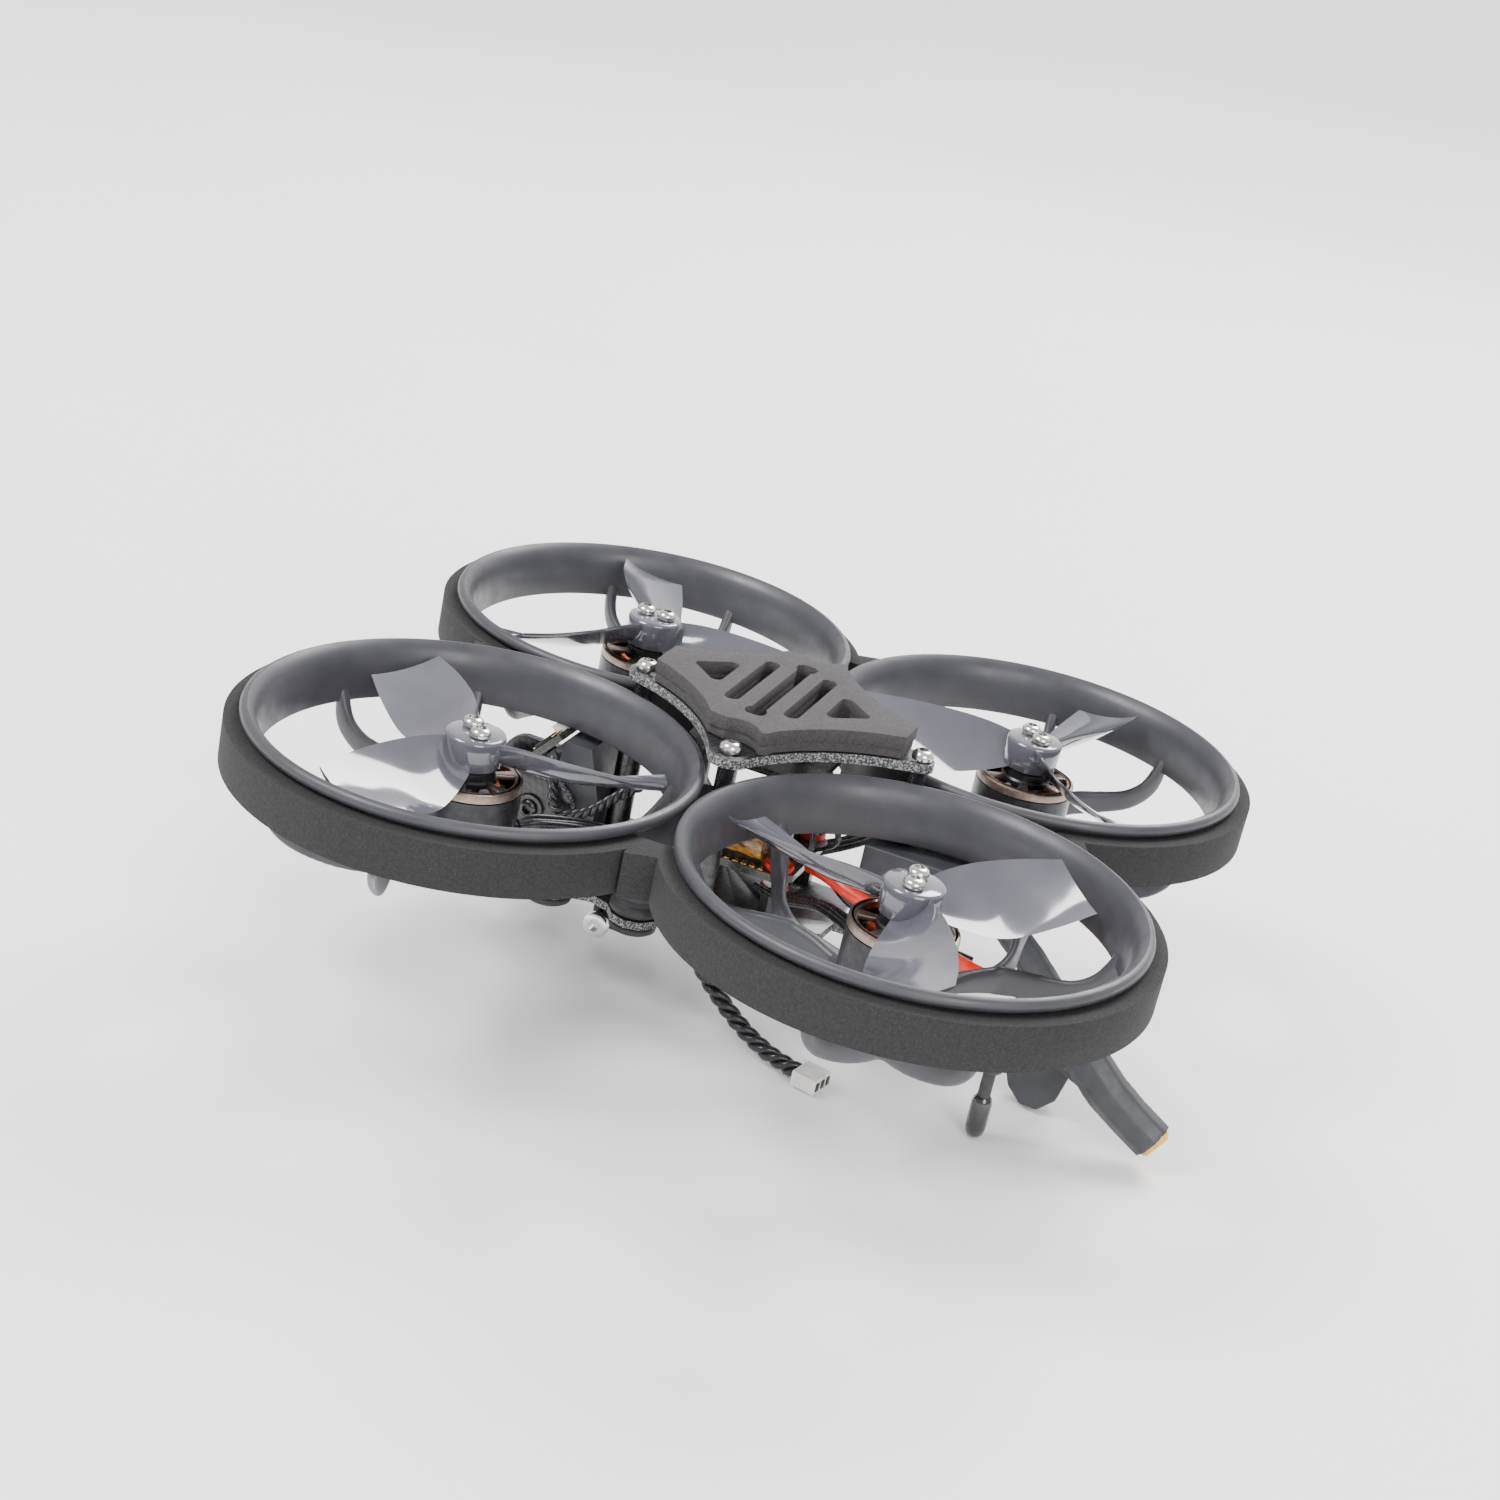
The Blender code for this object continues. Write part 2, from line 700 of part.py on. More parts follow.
def add_rotors(black_metal, winding, smoke, steel):
    stator, bell = stator_mesh(), bell_mesh()
    screw = button_screw(PROP_SCREW_END, HUB_TOP + GAP, 2.1 * MM, 1.7 * MM, 10)
    for name, (x_side, y_side, blade_angle, screw_angle, counter) in ROTORS.items():
        centre = duct_centre(x_side, y_side)
        add_part(f"stator_{name}", stator, winding, (*centre, 0))
        axis = bpy.data.objects.new(f"rotor_axis_{name}", None)
        axis.parent = airframe
        axis.location = (*centre, 0)
        axis.rotation_euler.z = math.radians(screw_angle)
        parts.objects.link(axis)
        phase = blade_angle - screw_angle
        prop = prop_mesh(phase) if counter else mirrored_mesh(prop_mesh(-phase))
        add_part(f"bell_{name}", bell, black_metal, parent=axis)
        add_part(f"propeller_{name}", prop, smoke, parent=axis)
        for side, end in ((-1, "a"), (1, "b")):
            offset = (side * PROP_SCREW_SPACING / 2, 0, 0)
            add_part(f"prop_screw_{end}_{name}", screw, steel, offset, parent=axis)


# Camera pod


def add_dampers(rubber):
    """Rubber plugs that hang the camera plate from the bottom plate: a stub, a body, a neck and a flange."""
    top = TRAY_BOTTOM - GAP
    profile = [
        (0, TRAY_TOP), (DAMPER_STUB, TRAY_TOP), (DAMPER_STUB, top), (DAMPER_RADIUS - 0.4 * MM, top), (DAMPER_RADIUS, top - 0.5 * MM), (DAMPER_RADIUS, CAMERA_PLATE_TOP + GAP),
        (DAMPER_STUB, CAMERA_PLATE_TOP + GAP), (DAMPER_STUB, CAMERA_PLATE_BOTTOM - GAP),
        (DAMPER_RADIUS - 0.3 * MM, CAMERA_PLATE_BOTTOM - GAP), (DAMPER_RADIUS - 0.3 * MM, -46.3 * MM), (0, -46.3 * MM),
    ]
    mesh = turned(profile, 14)
    for x_side, x_name in ((1, "left"), (-1, "right")):
        for y, y_name in zip(DAMPER_YS, ("rear", "front")):
            add_part(f"damper_{y_name}_{x_name}", mesh, rubber, (x_side * DAMPER_X, y, 0))


def camera_plate_outline():
    half = [
        (0, -61.0), (7.0, -61.0), (10.0, -58.0), (10.2, -44.0), (13.5, -41.9), (16.4, -40.0), (17.6, -36.6),
        (16.4, -33.2), (13.2, -31.0), (11.8, -27.0), (13.2, -22.8), (16.4, -20.6), (17.6, -17.2), (16.4, -13.8),
        (13.5, -11.9), (8.0, -10.8), (0, -10.8),
    ]
    right = [(x * MM, y * MM) for x, y in half]
    return right + mirrored_x(right)[1:-1]


def side_plate_outline():
    """Seen from the side, as (y, z): a big round upper rear corner, and a step over the bottom plate."""
    bottom = CAMERA_PLATE_TOP + GAP
    step = TRAY_TOP + 2 * GAP
    corner = arc((-41.8 * MM, -28.6 * MM), 6.3 * MM, 0, 90, 6)
    front = [(-54.0, -22.3), (-57.5, -24.0), (-60.0, -28.0)]
    front_points = [(y * MM, z * MM) for y, z in front]
    rear_points = [(-43.2 * MM, bottom), (-43.2 * MM, step), (-35.5 * MM, step)]
    return [*rear_points, *corner, *front_points, (-60.0 * MM, bottom)]


def add_camera_pod(carbon, rubber, black, lens, steel, board):
    plate = flat([camera_plate_outline(), *damper_holes()], CAMERA_PLATE_BOTTOM, CAMERA_PLATE_TOP)
    add_part("camera_plate", plate, carbon)
    add_dampers(rubber)
    hole = circle((PIVOT_Y, PIVOT_Z), SCREW_HOLE, 12)
    for side, name in ((1, "left"), (-1, "right")):
        near, far = sorted((side * SIDE_PLATE_INNER, side * (SIDE_PLATE_INNER + SIDE_PLATE_THICKNESS)))
        add_part(f"camera_side_{name}", flat([side_plate_outline(), hole], near, far, "X"), carbon)
        screw = button_screw(4.4 * MM, SIDE_PLATE_INNER + SIDE_PLATE_THICKNESS + GAP, 2.0 * MM, 1.5 * MM, 10)
        add_part(f"camera_screw_{name}", moved(screw, (0, PIVOT_Y, PIVOT_Z), side * 90, "Y"), black)
    add_camera(black, lens)
    add_part("cradle", flat([cradle_outline()], -7.2 * MM, 7.2 * MM, "X"), rubber)
    add_part("video_board", flat([board_outline()], -8.0 * MM, 8.0 * MM, "X"), board)
    add_lug(rubber, steel)


def add_camera(black, lens):
    """The camera body and its lens, both on the tilt axis."""
    pivot = bpy.data.objects.new("camera_axis", None)
    pivot.parent = airframe
    pivot.location = (0, PIVOT_Y, PIVOT_Z)
    parts.objects.link(pivot)
    body = block((-7.1 * MM, -5.2 * MM, -5.6 * MM), (7.1 * MM, 5.2 * MM, 5.6 * MM))
    bolt_hole = moved(cylinder(SCREW_HOLE, -8 * MM, 8 * MM, 12), turn=90, axis="Y")
    rims = [moved(cylinder(4.2 * MM, 5.0 * MM, 6.4 * MM, 20), turn=90, axis="X")]
    body = combined(combined(body, rims), [bolt_hole], "DIFFERENCE")
    add_part("camera_body", body, black, parent=pivot)
    barrel = turned(
        [
            (0, 15.4 * MM), (3.8 * MM, 15.4 * MM), (4.2 * MM, 16.2 * MM), (5.0 * MM, 15.8 * MM),
            (5.0 * MM, 11.4 * MM), (4.2 * MM, 10.6 * MM), (4.2 * MM, 6.7 * MM), (0, 6.7 * MM),
        ],
        16,
    )
    add_part("camera_lens", moved(barrel, turn=90, axis="X"), lens, parent=pivot)


def board_outline():
    """The tilted board, as (y, z)."""
    low = Vector((-48.3, -19.5))
    high = Vector((-42.0, -12.4))
    along = (high - low).normalized()
    under = Vector((along.y, -along.x)) * 1.5
    return [(p.x * MM, p.y * MM) for p in (low, low + under, high + under, high)]


def cradle_outline():
    """A soft stand behind the camera. Its sloping top carries the board."""
    points = [
        (-36.2, -34.3), (-31.8, -34.3), (-31.4, -24.0), (-34.6, -13.7), (-40.4, -13.7), (-44.1, -17.9),
        (-42.4, -19.6), (-36.2, -25.4),
    ]
    return [(y * MM, z * MM) for y, z in points]


def add_lug(rubber, steel):
    """Two prongs under the camera plate with a bolt across them."""
    prongs = []
    for low in (-6.2, -1.5, 3.2):
        prongs.append(block((low * MM, -28.2 * MM, -51.9 * MM), ((low + 3.0) * MM, -21.8 * MM, -46.0 * MM)))
    top = block((-6.2 * MM, -28.2 * MM, -46.2 * MM), (6.2 * MM, -21.8 * MM, CAMERA_PLATE_BOTTOM - GAP))
    hole = cylinder(1.5 * MM + GAP, -8 * MM, 8 * MM, 16)
    moved(hole, (0, CROSS_BOLT_Y, CROSS_BOLT_Z), 90, "Y")
    add_part("accessory_lug", combined(combined(top, prongs), [hole], "DIFFERENCE"), rubber)
    bolt = turned(
        [
            (1.3 * MM, 12.6 * MM), (2.4 * MM, 12.6 * MM), (2.75 * MM, 12.0 * MM), (2.75 * MM, 11.0 * MM), (1.5 * MM, 9.6 * MM),
            (1.5 * MM, -9.6 * MM), (2.75 * MM, -11.0 * MM), (2.75 * MM, -12.0 * MM), (2.4 * MM, -12.6 * MM), (0, -12.6 * MM),
            (0, 11.6 * MM), (1.3 * MM, 11.6 * MM),
        ],
        12,
    )
    add_part("cross_bolt", moved(bolt, (0, CROSS_BOLT_Y, CROSS_BOLT_Z), 90, "Y"), steel)


# Electronics


# From the boards, past the rear post and into the arm of the rear mount
BATTERY_LEAD_RADIUS = 1.6 * MM
BATTERY_LEAD_ROUTE = [
    (6.6, 15.4, -22.6), (9.6, 20.0, -22.0), (12.0, 27.0, -23.2), (12.6, 38.0, -25.6), (12.4, 48.0, -28.6),
    (10.0, 56.0, -31.4), (6.6, 61.6, -32.6), (4.0, 66.0, -33.6),
]


def battery_lead_points():
    return smooth_route([Vector(place) * MM for place in BATTERY_LEAD_ROUTE], 3.4 * MM)


def add_electronics(board, amber, red_rubber):
    half = 13.6
    cut = 3.0
    outline = [
        (half, -half + cut), (half, half - cut), (half - cut, half), (-half + cut, half), (-half, half - cut),
        (-half, -half + cut), (-half + cut, -half), (half - cut, -half),
    ]
    holes = [circle((x * MM, y * MM), 1.7 * MM, 12) for x in (-10, 10) for y in (-10, 10)]
    controller = flat([[(x * MM, y * MM) for x, y in outline], *holes], -25.6 * MM, -24.0 * MM)
    add_part("flight_controller", controller, board)
    radio = [(14.5, -9.0), (14.5, 9.0), (9.0, 14.5), (-9.0, 14.5), (-14.5, 9.0), (-14.5, -9.0), (-9.0, -14.5), (9.0, -14.5)]
    add_part("radio_board", flat([[(x * MM, y * MM) for x, y in radio]], -3.6 * MM, -2.2 * MM), board)
    can = turned(
        [(0, 7.5 * MM), (3.4 * MM, 7.5 * MM), (4.0 * MM, 6.9 * MM), (4.0 * MM, -6.9 * MM), (3.4 * MM, -7.5 * MM), (0, -7.5 * MM)],
        20,
    )
    add_part("capacitor", moved(can, (9.4 * MM, -0.8 * MM, -19.4 * MM), 90, "X"), amber)
    add_part("battery_lead", wire_curve(battery_lead_points(), BATTERY_LEAD_RADIUS, 2), red_rubber)


# Rear mount


def arm_route():
    places = [
        (0.5, 44.0, -19.6), (0.5, 54.0, -22.6), (1.6, 62.0, -28.4), (3.2, 70.0, -35.8), (5.0, 78.0, -43.0),
        (6.0, 84.5, -48.4), (6.0, 90.0, -52.0),
    ]
    return [Vector(place) * MM for place in places] + [ARM_END]


def arm_sections(route, half_width, half_height, steps=8):
    """Rounded-square rings along a route that runs mainly backwards and down."""
    sections = []
    across = Vector((1, 0, 0))
    for i, place in enumerate(route):
        ahead = route[min(i + 1, len(route) - 1)] - route[max(i - 1, 0)]
        ahead.normalize()
        side = (across - ahead * across.dot(ahead)).normalized()
        up = ahead.cross(side)
        ring = []
        for k in range(steps):
            a = 2 * math.pi * (k + 0.5) / steps
            u, v = math.cos(a), math.sin(a)
            square = 1 / max(abs(u), abs(v))
            reach = 0.35 + 0.65 * square
            ring.append(place + side * half_width[i] * u * reach * 0.86 + up * half_height[i] * v * reach * 0.86)
        sections.append(ring)
    return sections


def add_rear_mount(rubber, yellow, black):
    route = arm_route()
    widths = [w * MM for w in (3.6, 3.6, 3.8, 4.0, 4.2, 4.4, 4.4, 4.4)]
    heights = [h * MM for h in (3.6, 3.4, 3.6, 4.2, 5.2, 5.2, 5.0, 5.0)]
    arm = swept(arm_sections(route, widths, heights))
    clamp = block((-8.6 * MM, 25.6 * MM, -25.8 * MM), (8.6 * MM, 47.6 * MM, -13.4 * MM))
    post_hole = moved(cylinder(POST_FOOT + GAP, -30 * MM, -10 * MM, 20), (0, REAR_EAR_Y, 0))
    fin = flat([[(66.0 * MM, -36.0 * MM), (73.0 * MM, -47.6 * MM), (82.0 * MM, -51.4 * MM), (84.0 * MM, -46.0 * MM)]], 3.4 * MM, 5.6 * MM, "X")
    foot_side = [(60.8, -33.0), (62.6, -52.0), (64.4, -57.4), (67.6, -60.4), (71.4, -60.6), (74.6, -57.2), (76.0, -51.0), (74.0, -40.6)]
    foot = flat([[(y * MM, z * MM) for y, z in foot_side]], -6.4 * MM, 1.0 * MM, "X")
    ear_route = [Vector(place) * MM for place in ((3.6, 72.0, -39.6), (10.0, 67.4, -41.8), (ANTENNA_X / MM, 62.8, -42.2))]
    ear = tube_mesh(ear_route, 2.4 * MM)
    collar = moved(cylinder(2.6 * MM, -46.0 * MM, -39.0 * MM, 16), (ANTENNA_X, ANTENNA_Y, 0))
    body = combined(arm, [clamp, fin, foot, ear, collar])
    end_direction = (route[-1] - route[-2]).normalized()
    pocket_route = [route[-1] - end_direction * 6 * MM, route[-1] + end_direction * 2 * MM]
    pocket = swept(arm_sections(pocket_route, [3.3 * MM] * 2, [4.3 * MM] * 2))
    rod_hole = moved(cylinder(1.3 * MM + GAP, -50 * MM, -41.0 * MM, 16), (ANTENNA_X, ANTENNA_Y, 0))
    inlet_route = battery_lead_points()[-7:]
    inlet_route.append(inlet_route[-1] + (inlet_route[-1] - inlet_route[-2]) * 0.1)
    inlet = tube_mesh(inlet_route, BATTERY_LEAD_RADIUS + 1.5 * GAP)
    add_part("rear_mount", combined(body, [post_hole, pocket, rod_hole, inlet], "DIFFERENCE"), rubber)
    plug_route = [route[-1] - end_direction * 5.6 * MM, route[-1] + end_direction * 0.9 * MM]
    plug = swept(arm_sections(plug_route, [2.9 * MM] * 2, [3.9 * MM] * 2))
    add_part("battery_plug", plug, yellow)
    rod = turned(
        [
            (0, -41.4 * MM), (1.3 * MM, -41.4 * MM), (1.3 * MM, -52.0 * MM), (2.0 * MM, -53.0 * MM), (2.1 * MM, -56.0 * MM),
            (2.1 * MM, -59.6 * MM), (1.5 * MM, ANTENNA_TIP_Z + 0.4 * MM), (0, ANTENNA_TIP_Z),
        ],
        14,
    )
    add_part("antenna", moved(rod, (ANTENNA_X, ANTENNA_Y, 0)), black)


# The free lead with its plug, from under the bottom plate to the surface

LEAD_ROUTE = [
    (15.0, -8.6, -38.6), (15.2, -6.6, -40.2), (15.6, -3.4, -43.6), (16.2, 0.4, -47.4), (17.0, 4.6, -51.0),
    (18.0, 9.2, -54.2), (19.0, 14.0, -56.8), (20.0, 18.6, -58.4), (21.0, 22.6, -59.0), (21.8, 26.2, -59.2),
]


def add_lead(rubber, white):
    points = smooth_route([Vector(place) * MM for place in LEAD_ROUTE], 4.2 * MM)
    add_part("lead", wire_curve(points, 1.9 * MM, 2), rubber)
    plug = block((-3.1 * MM, 0, -1.7 * MM), (3.1 * MM, 5.6 * MM, 1.7 * MM))
    end = Vector(LEAD_ROUTE[-1]) * MM
    ahead = end - Vector(LEAD_ROUTE[-2]) * MM
    turn = math.degrees(math.atan2(-ahead.x, ahead.y))
    add_part("lead_plug", moved(plug, turn=turn), white, end + ahead.normalized() * GAP)


clear_scene()
parts = new_collection("ducted_quadcopter")
helpers = new_collection("helpers")
airframe = bpy.data.objects.new("airframe", None)
airframe.location = (0, -BASE_MIDDLE_Y, FLOOR_DROP)
parts.objects.link(airframe)

duct_plastic = new_material("duct_plastic", (0.075, 0.075, 0.085), 0.45)
foam = new_material("foam", (0.05, 0.05, 0.055), 0.95)
pad_foam = new_material("pad_foam", (0.13, 0.125, 0.135), 0.9)
carbon = new_material("carbon", (0.03, 0.03, 0.032), 0.4)
steel = new_material("steel", (0.8, 0.8, 0.8), 0.2, 1.0)
black_metal = new_material("black_metal", (0.04, 0.04, 0.045), 0.35, 0.8)
winding = new_material("winding", (0.45, 0.12, 0.05), 0.4, 0.9)
smoke = new_material("smoke_plastic", (0.12, 0.12, 0.14), 0.15)
soft_black = new_material("soft_black", (0.06, 0.06, 0.065), 0.6)
black_plastic = new_material("black_plastic", (0.02, 0.02, 0.02), 0.35)
lens_glass = new_material("lens_glass", (0.02, 0.02, 0.03), 0.05)
circuit_board = new_material("circuit_board", (0.02, 0.035, 0.02), 0.4)
amber_film = new_material("amber_film", (0.35, 0.16, 0.03), 0.15)
red_silicone = new_material("red_silicone", (0.7, 0.05, 0.02), 0.4)
yellow_plastic = new_material("yellow_plastic", (0.9, 0.6, 0.05), 0.4)
white_plastic = new_material("white_plastic", (0.85, 0.85, 0.83), 0.4)

add_ducts(duct_plastic)
add_bumper(foam)
add_frame(carbon, pad_foam, steel, black_metal)
add_rotors(black_metal, winding, smoke, steel)
add_camera_pod(carbon, soft_black, black_plastic, lens_glass, steel, circuit_board)
add_electronics(circuit_board, amber_film, red_silicone)
add_rear_mount(soft_black, yellow_plastic, black_plastic)
add_lead(soft_black, white_plastic)
bpy.data.collections.remove(helpers)
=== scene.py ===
"""The finished look of the small ducted quadcopter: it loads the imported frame, puts a detailed piece in the
place of each plain CAD node, adds the wiring, and lights it on a plain pale floor.

Sizes below are in millimetres in the airframe's own frame: the origin is the middle of the four rotors, at
the level of the propeller screws, the front is -Y and the left side +X. at() turns them into world metres.
"""

import math

import bmesh
import bpy
from mathutils import Matrix, Vector, noise


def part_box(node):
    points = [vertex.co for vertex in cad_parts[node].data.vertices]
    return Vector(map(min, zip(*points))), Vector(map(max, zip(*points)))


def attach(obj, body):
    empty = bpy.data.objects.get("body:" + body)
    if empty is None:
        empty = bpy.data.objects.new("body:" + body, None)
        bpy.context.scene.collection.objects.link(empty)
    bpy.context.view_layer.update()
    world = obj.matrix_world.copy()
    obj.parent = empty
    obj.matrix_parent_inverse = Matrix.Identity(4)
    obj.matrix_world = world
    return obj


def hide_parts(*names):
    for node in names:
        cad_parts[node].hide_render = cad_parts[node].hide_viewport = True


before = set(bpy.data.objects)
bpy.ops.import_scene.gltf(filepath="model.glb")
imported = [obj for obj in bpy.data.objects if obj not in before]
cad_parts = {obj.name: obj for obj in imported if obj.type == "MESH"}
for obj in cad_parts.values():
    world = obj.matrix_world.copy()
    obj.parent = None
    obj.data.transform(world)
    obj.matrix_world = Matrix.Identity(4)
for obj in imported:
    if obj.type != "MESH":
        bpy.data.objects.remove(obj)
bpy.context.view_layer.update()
MM = 0.001

# The airframe's place, from the bumper, whose top is 3 mm below the rotors' level
bumper_low, bumper_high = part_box("foam_bumper")
ORIGIN = Vector((0, (bumper_low[1] + bumper_high[1]) / 2, bumper_high[2] + 3 * MM))

# The camera: its lens, its place in the world's metres, and the ways it calls right and up
LENS_MM, SENSOR_MM = 58.06, 36
CAMERA_PLACE = (0.435574, 0.118553, 0.239965)
CAMERA_RIGHT = (-0.34783384, 0.9167401, 0.19646681)
CAMERA_UP = (-0.29479837, -0.30586556, 0.90528459)

# Driving sizes
MOTOR = 44.55
PROP_RADIUS = 37.6
BUMPER_RADIUS, BUMPER_FILLET = 47.0, 3.0
WALL_RADIUS = 42.3
PLATE_ARC = 43.9
SIDE_EAR = (26.6, 0.0)
FRONT_EAR = (0.0, -28.8)
REAR_EAR = (0.0, 31.0)
FORK_ANGLES = (15, 135, 255)
FORK_HALF_ANGLE = 20.5
PLATE_BOTTOM, PLATE_TOP, PAD_TOP = 2.0, 4.0, 9.0
TRAY_TOP, TRAY_BOTTOM = -34.6, -36.4
CAMERA_PLATE_TOP, CAMERA_PLATE_BOTTOM = -42.6, -44.4
PIVOT = (0.0, -44.8, -29.4)
GAP = 0.3
WALL_BOTTOM = -11.8
BUMPER_TOP = -3.0
LUG_TOP, LUG_THICKNESS = -4.9, 1.9
MOUNT_TOP, MOUNT_BOTTOM = -21.3, -24.2
HUB_TOP = -1.0
SCREW_SPACING = 5.0
DAMPER_X = 12.0
DAMPER_YS = (-17.2, -36.6)
BOARD_LOW, BOARD_HIGH = Vector((-48.3, -19.5)), Vector((-42.0, -12.4))
CROSS_BOLT = (0, -25.0, -48.9)
CAPACITOR = (9.4, -0.8, -19.4)
ARM_END, ARM_BEFORE_END = Vector((6.0, 95.8, -55.4)), Vector((6.0, 90.0, -52.0))
ANTENNA = (18.0, 62.8, 0)

# name: (x side, y side, first blade's angle, screw line's angle, turns counter-clockwise)
ROTORS = {
    "front_left": (1, -1, -10, 43, False),
    "front_right": (-1, -1, 82, 87, True),
    "rear_left": (1, 1, 16, 8, True),
    "rear_right": (-1, 1, 47, 40, False),
}


def at(x, y, z):
    return ORIGIN + Vector((x, y, z)) * MM


# Materials. Each one varies over the surface.


class Shader:
    """A Principled material with a few helpers to wire noise into it."""

    def __init__(self, name, roughness=0.5, metallic=0.0, coat=0.0):
        self.material = bpy.data.materials.new(name)
        self.material.use_nodes = True
        self.tree = self.material.node_tree
        self.bsdf = self.tree.nodes["Principled BSDF"]
        self.set(self.bsdf, "Roughness", roughness)
        self.set(self.bsdf, "Metallic", metallic)
        self.set(self.bsdf, "Coat Weight", coat)
        self.set(self.bsdf, "Coat Roughness", 0.08)
        self.place = self.add("ShaderNodeTexCoord").outputs["Object"]

    def add(self, kind, **values):
        node = self.tree.nodes.new(kind)
        for key, value in values.items():
            setattr(node, key, value)
        return node

    def set(self, node, socket, value):
        """Puts a number, a colour or another node's output into a socket."""
        if isinstance(value, bpy.types.NodeSocket):
            self.tree.links.new(value, node.inputs[socket])
        else:
            node.inputs[socket].default_value = value

    def noise(self, scale, detail=3.0, stretch=(1, 1, 1)):
        """A grey pattern. scale is in features a metre."""
        mapping = self.add("ShaderNodeMapping")
        self.set(mapping, "Vector", self.place)
        self.set(mapping, "Scale", stretch)
        texture = self.add("ShaderNodeTexNoise")
        self.set(texture, "Vector", mapping.outputs[0])
        self.set(texture, "Scale", scale)
        self.set(texture, "Detail", detail)
        return texture.outputs["Fac"]

    def spread(self, value, low, high, out_low=0.0, out_high=1.0):
        node = self.add("ShaderNodeMapRange")
        self.set(node, "Value", value)
        for socket, number in (("From Min", low), ("From Max", high), ("To Min", out_low), ("To Max", out_high)):
            self.set(node, socket, number)
        return node.outputs["Result"]

    def mix(self, factor, a, b):
        node = self.add("ShaderNodeMix", data_type="RGBA")
        self.set(node, 0, factor)
        self.set(node, 6, (*a, 1.0) if isinstance(a, tuple) else a)
        self.set(node, 7, (*b, 1.0) if isinstance(b, tuple) else b)
        return node.outputs[2]

    def maths(self, operation, a, b=0.0):
        node = self.add("ShaderNodeMath", operation=operation)
        self.set(node, 0, a)
        self.set(node, 1, b)
        return node.outputs[0]

    def bump(self, height, distance, strength=1.0):
        node = self.add("ShaderNodeBump")
        self.set(node, "Height", height)
        self.set(node, "Distance", distance)
        self.set(node, "Strength", strength)
        if self.bsdf.inputs["Normal"].is_linked:
            self.set(node, "Normal", self.bsdf.inputs["Normal"].links[0].from_socket)
        self.set(self.bsdf, "Normal", node.outputs[0])

    def colour(self, value):
        self.set(self.bsdf, "Base Color", value)

    def rough(self, value):
        self.set(self.bsdf, "Roughness", value)


def plain(name, dark, light, roughness, scale=400, grain=0.0, grain_scale=2500, metallic=0.0, coat=0.0):
    """Two near tones in soft patches, uneven gloss, and a fine grain of the given depth in metres."""
    s = Shader(name, roughness, metallic, coat)
    patches = s.noise(scale, 4)
    s.colour(s.mix(s.spread(patches, 0.35, 0.65), dark, light))
    s.rough(s.spread(s.noise(scale * 1.7, 5), 0.3, 0.7, roughness * 0.85, min(1.0, roughness * 1.18)))
    if grain:
        s.bump(s.noise(grain_scale, 3), grain)
    return s.material


def foam_material(name, dark, light, speck):
    """Cut foam: open pores and pale specks."""
    s = Shader(name, 0.92)
    pores = s.noise(1500, 4)
    fine = s.noise(5200, 3)
    base = s.mix(s.spread(pores, 0.35, 0.62), dark, light)
    s.colour(s.mix(s.spread(fine, 0.58, 0.74), base, speck))
    s.bump(pores, 0.00035, 0.7)
    s.bump(fine, 0.00012, 0.8)
    return s.material


def carbon_material(name, axis):
    """Woven plate: a glossy twill on its faces, and dull, pale-flecked cut edges. axis is its thickness."""
    s = Shader(name, 0.35, coat=0.25)
    split = s.add("ShaderNodeSeparateXYZ")
    s.set(split, 0, s.place)
    along = [split.outputs[i] for i in range(3) if i != axis]
    diagonal = s.maths("ADD", along[0], along[1])
    warp = s.maths("SINE", s.maths("MULTIPLY", diagonal, 2800.0))
    weft = s.maths("SINE", s.maths("MULTIPLY", s.maths("SUBTRACT", along[0], along[1]), 1400.0))
    twill = s.spread(s.maths("MULTIPLY", warp, weft), -0.4, 0.4)
    weave = s.mix(twill, (0.010, 0.010, 0.011), (0.030, 0.030, 0.033))
    flecks = s.spread(s.noise(2600, 6), 0.47, 0.66)
    edge_colour = s.mix(flecks, (0.03, 0.03, 0.032), (0.42, 0.42, 0.43))
    normal = s.add("ShaderNodeSeparateXYZ")
    s.set(normal, 0, s.add("ShaderNodeNewGeometry").outputs["True Normal"])
    flat_side = s.maths("GREATER_THAN", s.maths("ABSOLUTE", normal.outputs[axis]), 0.8)
    s.colour(s.mix(flat_side, edge_colour, weave))
    s.rough(s.spread(flat_side, 0, 1, 0.7, 0.3))
    s.bump(s.noise(2600, 6), 0.00008, 0.6)
    return s.material


def metal(name, dark, light, roughness, scratch=0.00001, stretch=(1, 1, 6)):
    s = Shader(name, roughness, 1.0)
    s.colour(s.mix(s.spread(s.noise(900, 4), 0.3, 0.7), dark, light))
    s.rough(s.spread(s.noise(2500, 4, stretch), 0.3, 0.7, roughness * 0.7, roughness * 1.5))
    s.bump(s.noise(4200, 2, stretch), scratch, 0.5)
    return s.material


def knurled(name):
    """Dark anodised metal with a fine cross knurl round z."""
    s = Shader(name, 0.35, 1.0)
    s.colour(s.mix(s.spread(s.noise(700), 0.3, 0.7), (0.03, 0.03, 0.034), (0.06, 0.06, 0.066)))
    split = s.add("ShaderNodeSeparateXYZ")
    s.set(split, 0, s.place)
    turn = s.maths("ARCTAN2", split.outputs[1], split.outputs[0])
    rise = s.maths("MULTIPLY", split.outputs[2], 7000.0)
    ridges = s.maths(
        "MAXIMUM",
        s.maths("SINE", s.maths("ADD", s.maths("MULTIPLY", turn, 18.0), rise)),
        s.maths("SINE", s.maths("SUBTRACT", s.maths("MULTIPLY", turn, 18.0), rise)),
    )
    s.bump(ridges, 0.00012)
    return s.material


